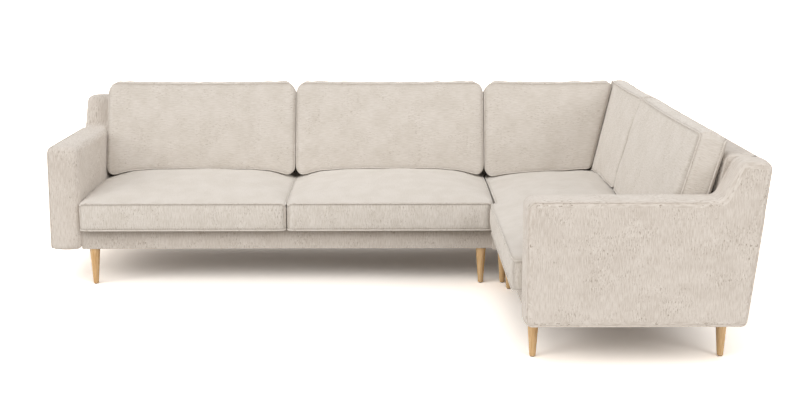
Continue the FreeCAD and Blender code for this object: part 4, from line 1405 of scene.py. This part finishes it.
@dataclass
class SeatCushion(Cushion):
    """A box seat cushion with a crowned top, which lies on the deck between its neighbours."""

    rear: float = field(kw_only=True)
    front_at: Curve = level(-SOFA.seat_overhang)
    crown: float = 0.058
    edge_crown: float = 0.018
    corner: float = 0.030
    bulge: float = 0.009
    tuck: float = 0.003
    run_in: float = 0.30
    corner_drop: float = 0.4
    square: tuple[float, float] = (0.9, 0.96)
    flat_pile: float = 0.8
    side_draw: float = 0.0025
    side_groove: float = 0.7
    # Painted shade: strengths in the top panel, the border and its corners, beside the seams
    panel_shade: float = 0.30
    border_shade: float = 0.85
    corner_shade: float = 0.4
    front_pucker: Pucker = Pucker(11, 0.0012, 0.055, 0.035)
    side_pucker: Pucker = Pucker(12, 0.0010, 0.06, 0.03)
    border_pucker: Pucker = Pucker(13, 0.0014, 0.07)
    dents: Pucker = Pucker(20, 0.0022, 0.27)
    top: Array = field(init=False)
    grain: ClassVar[Grain] = Grain.UPRIGHT
    seam_axis: ClassVar[int] = 2
    beads: ClassVar[dict[str, int]] = {"top_bead": -1, "bottom_bead": 0}

    def __post_init__(self) -> None:
        """Lays out the lattice."""
        self.lattice = Lattice((
            edged_stops(self.length, CUSHION_STEP, self.corner),
            edged_stops(self.deep, CUSHION_STEP, self.corner),
            edged_stops(self.border, CUSHION_STEP, BORDER_EDGE, SEAM_ROWS)))

    @property
    def deep(self) -> float:
        """Depth from the front seam to the rear."""
        return self.rear + SOFA.seat_overhang

    @property
    def border(self) -> float:
        """Height of the border between the two seams."""
        return SOFA.seam_height - SOFA.seat_bottom

    def start_shape(self, share: float) -> Array:
        """Crowned box: the top rises by seat_rise(v) times a crown, the front border bulges by 4w(1 - w)."""
        u, v, w = self.lattice.shares
        x = self.start_x + u * self.length
        front = self.front_at(x)
        deep = self.rear - front
        near = from_ends(u, self.length)
        edge, rise = self.edge_crown / self.crown, seat_rise(v)
        run = edge + (1 - edge) * np.sin(np.minimum(1, near / self.run_in) * math.pi / 2)
        seam = SOFA.seam_height - self.corner_drop * self.corner * falls_away(near, self.corner)
        edge_lift = self.edge_crown * rise
        lift = np.where(at_end(w), mix(edge_lift, self.crown * run * rise, share), edge_lift * w)
        z = SOFA.seat_bottom + w * (seam - SOFA.seat_bottom) + lift
        push = self.tuck * (1 - w) - self.bulge * share * 4 * w * (1 - w)
        y = front + v * deep + push * (1 - v) ** 6
        half_x, half_y = self.length / 2, deep / 2
        mid_x, mid_y = self.start_x + half_x, front + half_y
        px, py = quarter_round(x - mid_x, y - mid_y, half_x, half_y, self.corner)
        square = blend_in(v, *self.square)
        return np.stack([mix(mid_x + px, x, square), mix(mid_y + py, y, square), z], 1)

    def pressed(self) -> Array:
        """The top panel's pile is pressed flat, and the border's stands."""
        return np.where(at_end(self.lattice.shares[2]), self.flat_pile, 0.0)

    def painted_shade(self) -> Array:
        """Painted shade: in the border beside both beads and at its corners, and a little in the top panel
        along its edges.
        """
        u, v, w = self.lattice.shares
        ends, front = self.fold(u, self.length), self.fold(v, self.deep)
        border = np.maximum(self.border_shade * self.fold(w, self.border), self.corner_shade * (ends * front))
        return np.where(at_end(w), self.panel_shade * np.maximum(ends, front), border)

    def trim(self, points: Array) -> Array:
        """Presses the sides, the back and the underside flat, and puckers the cloth along the front seams."""
        out, loose = points.copy(), ~self.held()
        u, v, w = self.lattice.shares
        along_front = self.front_pucker.waves(self.seed, out[:, 0], v * self.deep)
        along_sides = self.side_pucker.waves(self.seed, out[:, 1], from_ends(u, self.length))
        dents = self.dents.relief(self.seed, out[:, 0], out[:, 1])
        out[:, 2] += np.where(at_end(w) & loose, along_front + along_sides + dents, 0)
        out[:, 1] += np.where(at_start(v) & loose, self.border_pucker.waves(self.seed, out[:, 0]), 0)
        out[:, 0] = np.clip(out[:, 0], self.start_x, self.end_x)
        drawn = self.groove(w, self.border) * loose
        out[:, 1] += drawn * at_start(v)
        inward = np.where(u < 0.5, 1.0, -1.0) * (at_start(u) | at_end(u))
        out[:, 0] += inward * (drawn * self.side_groove + self.side_draw * ~loose)
        out[:, 1] = np.minimum(out[:, 1], self.rear)
        out[:, 2] = np.maximum(out[:, 2], SOFA.seat_bottom)
        self.top = out
        return out

    def settle(self, points: Array) -> Array:
        """A seat's own axes are its section's."""
        return self.place.to_world(points)

    def height_at(self, world_xy: Array) -> Array:
        """Height of the top panel at world places, mixed from the four nearest lattice points."""
        local = self.place.to_local(np.column_stack([world_xy, np.zeros(len(world_xy))]))
        x = np.clip(local[:, 0], self.start_x, self.end_x)
        front = self.front_at(x)
        shares = (x - self.start_x) / self.length, np.clip((local[:, 1] - front) / (self.rear - front), 0, 1)
        cells, parts = [], []
        for share, stops in zip(shares, self.lattice.stops):
            place = np.interp(share, stops, np.arange(len(stops)))
            cells.append(np.minimum(place.astype(int), len(stops) - 2))
            parts.append(place - cells[-1])
        (i, j), (s, t) = cells, parts
        z = self.top[:, 2][self.lattice.grid[:, :, -1]]
        return mix(mix(z[i, j], z[i + 1, j], s), mix(z[i, j + 1], z[i + 1, j + 1], s), t)


@dataclass
class BackCushion(Cushion):
    """A leaning back cushion with a gusset between two beaded panels, which stands on a seat cushion.

    Its own axes are x along its width, y across its thickness from the front, and z up its slope.
    """

    seat: SeatCushion = field(kw_only=True)
    start_slope: float = 0.0
    end_slope: float = 0.0
    tall: float = 0.446
    thick: float = 0.112
    corner: float = 0.050
    end_corner: float = 0.050
    front_crown: float = 0.022
    rear_crown: float = 0.008
    top_crown: float = 0.027
    pinch: float = 0.009
    sag: float = 0.006
    run_in: float = 0.30
    end_swell: float = 0.35
    flat_pile: float = 0.35
    side_draw: float = 0.0035
    side_reach: float = 0.03
    groove_reach: float = 0.02
    # Painted shade: strengths on the panels, the gusset's top and the rest of the gusset, beside the beads
    panel_shade: float = 0.55
    top_shade: float = 0.8
    gusset_shade: float = 0.3
    level_pucker: Pucker = Pucker(31, 0.0014, 0.06, 0.03)
    upright_pucker: Pucker = Pucker(32, 0.0014, 0.06, 0.03)
    dents: Pucker = Pucker(33, 0.0030, 0.25)
    gusset_pucker: Pucker = Pucker(34, 0.0016, 0.09)
    flat_until: float = 0.0
    flat_fade: float = 0.06
    flat_bulge: float = 0.003
    foot_reach: float = 0.19
    corner_reach: float = 0.22
    foot_gap: float = 0.0045
    corner_gap: float = 0.010
    least_gap: float = 0.0012
    grain: ClassVar[Grain] = Grain.SIDEWAYS
    seam_axis: ClassVar[int] = 1
    beads: ClassVar[dict[str, int]] = {"front_bead": 0, "rear_bead": -1}

    def __post_init__(self) -> None:
        """Lays out the lattice."""
        self.lattice = Lattice((
            edged_stops(self.length, CUSHION_STEP, self.corner),
            edged_stops(self.thick, CUSHION_STEP, BORDER_EDGE, SEAM_ROWS),
            edged_stops(self.tall, CUSHION_STEP, self.corner)))

    def start_shape(self, share: float) -> Array:
        """Box with round face corners; its faces swell by 4w(1 - w) and its gusset by 4v(1 - v)."""
        u, v, w = self.lattice.shares
        near = from_ends(u, self.length)
        run = self.end_swell + (1 - self.end_swell) * np.sin(np.minimum(1, near / self.run_in) * math.pi / 2)
        swell = share * run * 4 * w * (1 - w) * ~(at_start(u) | at_end(u))
        drawn = self.pinch * falls_away(near, self.pinch)
        front = drawn - self.front_crown * swell * at_start(v)
        rear = self.thick - drawn + self.rear_crown * swell * at_end(v)
        z = w * self.tall - self.sag * np.sin(math.pi * u) * w ** 3
        z = z + share * self.top_crown * 4 * v * (1 - v) * at_end(w)
        half_x, half_z = self.length / 2, self.tall / 2
        px, pz = quarter_round(u * self.length - half_x, z - half_z, half_x, half_z,
                               mix(self.corner, self.end_corner, u))
        return np.stack([px + self.start_x + half_x, mix(front, rear, v), pz + half_z], 1)

    def pressed(self) -> Array:
        """The pile is pressed a little all over."""
        return np.full(len(self.lattice.index), self.flat_pile)

    def painted_shade(self) -> Array:
        """Painted shade on both panels along their edges, and on the gusset beside the beads, most at its
        top.
        """
        u, v, w = self.lattice.shares
        panel = np.maximum(self.fold(u, self.length), self.fold(w, self.tall))
        gusset = np.where(at_end(w), self.top_shade, self.gusset_shade) * self.fold(v, self.thick)
        return np.where(at_start(v) | at_end(v), self.panel_shade * panel, gusset)

    def trim(self, points: Array) -> Array:
        """Presses the ends flat, caps the rear's swell, and puckers the cloth along the seams."""
        out, loose = points.copy(), ~self.held()
        u, v, w = self.lattice.shares
        edge_x, edge_z = from_ends(u, self.length), from_ends(w, self.tall)
        ripples = (self.level_pucker.waves(self.seed, out[:, 0], edge_z)
                   + self.upright_pucker.waves(self.seed, out[:, 2], edge_x))
        dents = self.dents.relief(self.seed, out[:, 0], out[:, 2])
        out[:, 1] += np.where(at_start(v) & loose, ripples + dents, 0)
        gusset_top = loose & ~(at_start(v) | at_end(v)) & at_end(w)
        out[:, 2] += np.where(gusset_top, self.gusset_pucker.waves(self.seed, out[:, 0]), 0)
        out[:, 0] = np.clip(out[:, 0], self.start_x, self.end_x)
        out[:, 1] = np.minimum(out[:, 1], self.thick + self.rear_crown)
        if self.flat_until:
            beyond = blend_in(out[:, 0] - self.start_x, self.flat_until, self.flat_until + self.flat_fade)
            out[:, 1] = mix(np.maximum(out[:, 1], -self.flat_bulge), out[:, 1], beyond)
        drawn = self.groove(v, self.thick) * loose
        sideways = np.where(u < 0.5, 1.0, -1.0) * np.clip(1 - edge_x / self.side_reach, 0, 1)
        out[:, 0] += sideways * (drawn * (edge_x < self.groove_reach) + self.side_draw * ~loose)
        out[:, 2] -= drawn * at_end(w)
        return out

    def settle(self, points: Array) -> Array:
        """Leans the cushion back, leans its ends sideways, and lets its foot follow the seat below.

        A point (x, across, along) goes to depth + across cos + along sin and height + along cos - across sin.
        The foot moves along the slope until it stands just over the seat's top, and that fades out upwards.
        """
        cos, sin = math.cos(SOFA.back_lean), math.sin(SOFA.back_lean)
        x, across, along = points.T

        def lean(lifted: Array) -> Array:
            """World points of the leaned cushion with other places up its slope."""
            rise = lifted * cos - across * sin
            slope = mix(self.start_slope, self.end_slope, (x - self.start_x) / self.length)
            depth = SOFA.back_foot_depth + across * cos + lifted * sin
            return self.place.to_world(np.stack([x + rise * slope, depth, SOFA.back_foot_height + rise], 1))

        foot = np.zeros(len(x))
        edge = np.minimum(x - self.start_x, self.end_x - x)
        gap = mix(self.corner_gap, self.foot_gap, blend_in(edge, 0.0, self.corner_reach))
        for _ in range(3):
            top = self.seat.height_at(lean(foot)[:, :2]) + gap
            foot = (top - SOFA.back_foot_height + across * sin) / cos
        world = lean(along + foot * (1 - blend_in(along, 0.0, self.foot_reach)))
        world[:, 2] = np.maximum(world[:, 2], self.seat.height_at(world[:, :2]) + self.least_gap)
        return world


@dataclass(frozen=True)
class Stuffing:
    """Fills cushions by cloth simulation: an even pressure inside, no gravity, and seams that hold still."""

    pressure: float = 4.0
    frames: int = 20
    most: float = 0.026
    tension: float = 15.0
    bending: float = 0.6

    def fill(self, cushions: list[Cushion]) -> list[Array]:
        """Runs all cushions together and returns their filled points, none moved further than the limit."""
        for cushion in cushions:
            group = cushion.obj.vertex_groups.new(name="seams")
            group.add(np.flatnonzero(cushion.held()).tolist(), 1.0, "REPLACE")
            cloth = cushion.obj.modifiers.new("stuffing", "CLOTH")
            settings = cloth.settings
            settings.use_pressure, settings.uniform_pressure_force = True, self.pressure
            settings.vertex_group_mass = "seams"
            settings.tension_stiffness = settings.compression_stiffness = self.tension
            settings.bending_stiffness = self.bending
            settings.effector_weights.gravity = 0
            cloth.point_cache.frame_start, cloth.point_cache.frame_end = 1, self.frames
        scene = bpy.context.scene
        for number in range(1, self.frames + 1):
            scene.frame_set(number)
        ready = bpy.context.evaluated_depsgraph_get()
        found = []
        for cushion in cushions:
            blown = cushion.obj.evaluated_get(ready).to_mesh()
            flat = np.zeros(len(blown.vertices) * 3, np.float32)
            blown.vertices.foreach_get("co", flat)
            cushion.obj.evaluated_get(ready).to_mesh_clear()
            move = flat.reshape(-1, 3).astype(float) - cushion.plan
            size = np.linalg.norm(move, axis=1, keepdims=True)
            found.append(cushion.plan + move * np.minimum(1, self.most / np.maximum(size, TINY)))
            LOG.info("%s: filled by %.1f mm at most, %.1f mm on average", cushion.name, *(
                1000 * size.max(), 1000 * size.mean()))
        for cushion in cushions:
            cushion.obj.modifiers.clear()
            cushion.obj.vertex_groups.clear()
        scene.frame_set(1)
        return found


@dataclass(frozen=True)
class Cushions:
    """All eight loose cushions."""

    material: Material
    stuffing: Stuffing = Stuffing()
    first_crown: float = 0.7
    corner_short: float = 0.007
    inner_gap: float = 0.006
    inner_lean: float = math.radians(9.0)

    def long_front(self, x: Array) -> Array:
        """Front seam of the long cushion: drawn back where the long run's last seat stands beside it."""
        share = np.clip((x - SOFA.step_start) / (SOFA.step_end - SOFA.step_start), 0, 1)
        return mix(SOFA.inside_front, -SOFA.seat_overhang, share)

    def lay_out(self) -> list[Cushion]:
        """Gives the three seat cushions, and then the five back cushions that stand on them."""
        cloth, gap, arm, wide = self.material, SOFA.side_gap, SOFA.arm_width, SOFA.seat_width
        rear = float(SOFA.inner_depth(SOFA.base_top)) - gap
        bays = [(arm + wide * i + gap, arm + wide * (i + 1) - gap) for i in range(2)]
        end = SOFA.return_seat - gap
        corner_end = SOFA.joint_inset + SOFA.back_foot_depth - self.corner_short
        inner_start = self.inner_gap - float(SOFA.inner_depth(SOFA.back_foot_height))
        seats = [SeatCushion(f"seat_{i + 1}", RUN, cloth, 3 + i, *bay, rear=rear)
                 for i, bay in enumerate(bays)]
        long = SeatCushion("seat_long", RETURN, cloth, 6, -rear, end, rear=rear, front_at=self.long_front)
        return [
            *seats, long,
            *(BackCushion(f"back_{i + 1}", RUN, cloth, 8 + i, *bay, seat=seats[i])
              for i, bay in enumerate(bays)),
            BackCushion("back_corner", CORNER, cloth, 11, gap, corner_end, seat=long,
                        end_slope=math.tan(SOFA.back_lean), end_corner=0.022),
            BackCushion("back_inner", RETURN, cloth, 12, inner_start, -gap, seat=long,
                        start_slope=-math.tan(self.inner_lean), corner=0.026, end_corner=0.030,
                        flat_until=0.125),
            BackCushion("back_return", RETURN, cloth, 13, gap, end, seat=long,
                        corner=0.036, end_corner=0.014),
        ]

    def build(self) -> list[Piece]:
        """Makes, fills and settles every cushion, seats first."""
        every = self.lay_out()
        for cushion in every:
            cushion.prepare(self.first_crown)
        shapes = self.stuffing.fill(every)
        return [piece for cushion, shape in zip(every, shapes) for piece in cushion.finish(shape)]


# Legs and the inner frame


@dataclass(frozen=True)
class Legs:
    """Turned tapered legs of one section, with softly rounded feet."""

    name: str
    node: str
    place: Place
    xs: tuple[float, ...]
    top_radius: float = 0.024
    foot_radius: float = 0.0125
    foot_round: float = 0.003
    low: float = 0.003
    high: float = 0.172
    sides: int = 48

    def profile(self) -> Array:
        """(radius, height) along a leg: a quarter round at the foot and a straight taper."""
        turn = np.linspace(0, math.pi / 2, 5)
        foot = np.stack([
            self.foot_radius - self.foot_round * (1 - np.sin(turn)),
            self.low + self.foot_round * (1 - np.cos(turn))], 1)
        taper = mix(foot[-1], np.array([self.top_radius, self.high]), np.linspace(0, 1, 16)[1:, None])
        return np.concatenate([foot, taper])

    def one_leg(self, x: float, y: float) -> tuple[Array, Array, Array]:
        """Points, quads and cloth coordinates of one leg.

        Its points are (x + r cos t, y + r sin t, z) and the centres of both ends. Each end is closed by
        quads that join its centre to three points of its rim.
        """
        radius, height = self.profile().T[:, :, None]
        rows, sides = len(radius), self.sides
        turn = np.linspace(0, 2 * math.pi, sides, endpoint=False)
        skin = np.stack([x + radius * np.cos(turn), y + radius * np.sin(turn), height + 0 * turn], -1)
        points = np.concatenate([skin.reshape(-1, 3), [[x, y, self.low], [x, y, self.high]]])
        wall = ring_quads(rows, sides, closed=False)[0][..., [0, 3, 2, 1]]
        rim = np.arange(0, sides, 2)
        fan = np.stack([rim, (rim + 1) % sides, (rim + 2) % sides], 1)
        middle = np.full((len(rim), 1), rows * sides)
        foot = np.concatenate([middle, fan[:, ::-1]], 1)
        head = np.concatenate([middle + 1, fan + (rows - 1) * sides], 1)
        quads = np.concatenate([wall.reshape(-1, 4), foot, head])
        return self.place.to_world(points), quads, points[quads][..., [0, 2]]

    def build(self, material: Material) -> Piece:
        """Makes the section's legs as one piece."""
        parts = MeshParts()
        for x in self.xs:
            for y in LEG_ROWS:
                parts.add(*self.one_leg(x, y))
        return declare(parts.piece(self.name, material), node=self.node, sharp=60)


@dataclass(frozen=True)
class InnerFrame:
    """Timber, springs, fixings and linings inside the sofa, which keep their own solids."""

    finishes: Finishes

    def finish_of(self, name: str) -> Material:
        """Finish of a node, by the first word here that its name holds.

        Rails without a word of their own have their grain along their length: side rails run across
        their section, and the right section is turned.
        """
        f = self.finishes
        by_finish = [
            (f.steel, ("springs", "bolts", "screws", "tongues", "sockets")), (f.glide, ("glides",)),
            (f.clip, ("clips",)), (f.ply, ("arm_panels",)), (f.pine_z, ("ribs", "posts", "corner_post")),
            (f.pine_x, ("leg_blocks",)), (f.beech, ("legs",)), (f.pine_y, ("middle_rails", "arm_rails")),
            (f.pine_x, ("spring_rails",)),
        ]
        rail = f.pine_y if name.startswith("right") != ("side_rails" in name) else f.pine_x
        return next((made for made, words in by_finish if any(word in name for word in words)), rail)

    def dress(self) -> int:
        """Gives each node that is still shown its finish, and returns how many there were."""
        shown = {name: node for name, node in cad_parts.items() if not node.hide_render}
        for name, node in shown.items():
            node.data.materials.clear()
            node.data.materials.append(self.finish_of(name))
        return len(shown)


# Studio


@dataclass(frozen=True)
class Sun:
    """A wide soft sun: azimuth is degrees from straight in front, towards +X, and width its angular size."""

    name: str
    energy: float
    azimuth: float
    elevation: float
    width: float

    def build(self) -> None:
        """Adds the lamp, turned to shine from its place."""
        lamp = bpy.data.lights.new(self.name, "SUN")
        lamp.energy, lamp.angle = self.energy, math.radians(self.width)
        turn, rise = math.radians(self.azimuth), math.radians(self.elevation)
        towards = Vector((math.sin(turn) * math.cos(rise), -math.cos(turn) * math.cos(rise), math.sin(rise)))
        add_object(self.name, lamp).rotation_euler = towards.to_track_quat("Z", "Y").to_euler()


@dataclass(frozen=True)
class Studio:
    """White floor, soft light from above and in front, and the camera."""

    camera_place: tuple[float, float, float] = (0.0913, -5.1180, 1.5293)
    pitch_down: float = 8.99
    turn_left: float = -0.50
    focal_px: float = 1185.06
    frame_px: float = 800.0
    shift_up: float = -0.09
    sensor_mm: float = 36.0
    far_clip: float = 300.0
    floor_reach: float = 60.0
    floor_colour: str = "E5E2DE"
    floor_seen: tuple[float, float, float, float] = (2.66, 2.6, 2.54, 1.0)
    horizon: str = "F3E9DD"
    zenith: str = "F5F4F4"
    dome: float = 0.665
    suns: tuple[Sun, ...] = (
        Sun("key_sun", 0.52, -20, 48, 40), Sun("left_sun", 0.74, -58, 23, 30),
        Sun("right_sun", 0.62, 38, 21, 30))

    def camera(self) -> None:
        """Sets the camera from its fitted place, tilt and focal length."""
        data = bpy.data.cameras.new("camera")
        data.sensor_width, data.clip_end = self.sensor_mm, self.far_clip
        data.lens = self.focal_px * self.sensor_mm / self.frame_px
        data.shift_y = self.shift_up
        camera = add_object("camera", data)
        camera.location = self.camera_place
        camera.rotation_euler = (math.radians(90 - self.pitch_down), 0, math.radians(self.turn_left))
        bpy.context.scene.camera = camera

    def floor(self) -> None:
        """Lays a pale floor that keeps the sofa's shadow; the camera sees its lit part as white."""
        mesh = bpy.data.meshes.new("floor")
        corners = [(-1, -1), (1, -1), (1, 1), (-1, 1)]
        points = [(x * self.floor_reach, y * self.floor_reach, 0) for x, y in corners]
        mesh.from_pydata(points, [], [range(4)])
        material, add = new_material("studio_floor")
        grain = add.noise(add.object_place(), 3.0)
        shade = add.ramp(grain, (0.3, self.floor_colour), (0.7, self.floor_colour))
        seen_colour = add.blend(1.0, shade, self.floor_seen, blend_type="MULTIPLY")
        matt, shown = (add_node(add.tree, "BsdfDiffuse", {"Color": c}).outputs[0]
                       for c in (shade, seen_colour))
        add.output(self.by_seen_rays(add, matt, shown))
        mesh.materials.append(material)
        add_object("floor", mesh)

    def by_seen_rays(self, add: Patterns, lit: Socket, shown: Socket) -> Socket:
        """Mixes two shaders: rays that show the camera the background, also off metal, meet the second."""
        path = add_node(add.tree, "LightPath").outputs
        seen = add.sums("MAXIMUM", path["Is Camera Ray"], path["Is Glossy Ray"])
        seen = add.sums("MAXIMUM", seen, path["Is Transmission Ray"])
        return add_node(add.tree, "MixShader", {0: seen, 1: lit, 2: shown}).outputs[0]

    def light(self) -> None:
        """Lights the room: a dome that dims towards the horizon, and wide soft suns."""
        world = bpy.data.worlds.new("studio")
        bpy.context.scene.world = world
        world.use_nodes = True
        tree = world.node_tree
        tree.nodes.clear()
        add = Patterns(tree)
        direction = add_node(tree, "TexCoord").outputs["Generated"]
        height = add.spread(add_node(tree, "SeparateXYZ", {0: direction}).outputs[2], end=0.5)
        colour = add.ramp(height, (0.0, self.horizon), (1.0, self.zenith))
        dome = add_node(tree, "Background", {"Color": colour, "Strength": self.dome}).outputs[0]
        white = add_node(tree, "Background", {"Color": (1, 1, 1, 1), "Strength": 1.0}).outputs[0]
        add_node(tree, "OutputWorld", {"Surface": self.by_seen_rays(add, dome, white)})
        for sun in self.suns:
            sun.build()

    def build(self) -> None:
        """Sets up camera, floor, light and the plain view transform."""
        self.camera()
        self.floor()
        self.light()
        bpy.context.scene.view_settings.view_transform = "Standard"


def main() -> None:
    """Builds the studio and every piece of the sofa, and reports each through the log."""
    logging.basicConfig(level=logging.INFO, format="%(name)s: %(message)s")
    Studio().build()
    finishes = Finishes()
    cover = finishes.cover
    made = [
        *Arm("arm_left", "left_arm_cover", RUN, 0.0, True, cover).build(),
        *Arm("arm_right", "right_arm_cover", RETURN, SOFA.return_seat, False, cover).build(),
        *Backs(cover).build(),
        *Bases(cover, finishes.deck).build(),
        *DustCovers(finishes.lining).build(),
        *Cushions(finishes.cushion).build(),
        *(legs.build(finishes.beech) for legs in (
            Legs("legs_under_left", "legs_left", RUN, LEFT_LEGS),
            Legs("legs_under_corner", "legs_corner", CORNER, CORNER_LEGS),
            Legs("legs_under_right", "legs_right", RETURN, RIGHT_LEGS))),
    ]
    for piece in made:
        LOG.info("%s: %d faces", piece.name, len(piece.data.polygons))
    LOG.info("inner frame: %d nodes dressed", InnerFrame(finishes).dress())


if __name__ == "__main__":
    main()
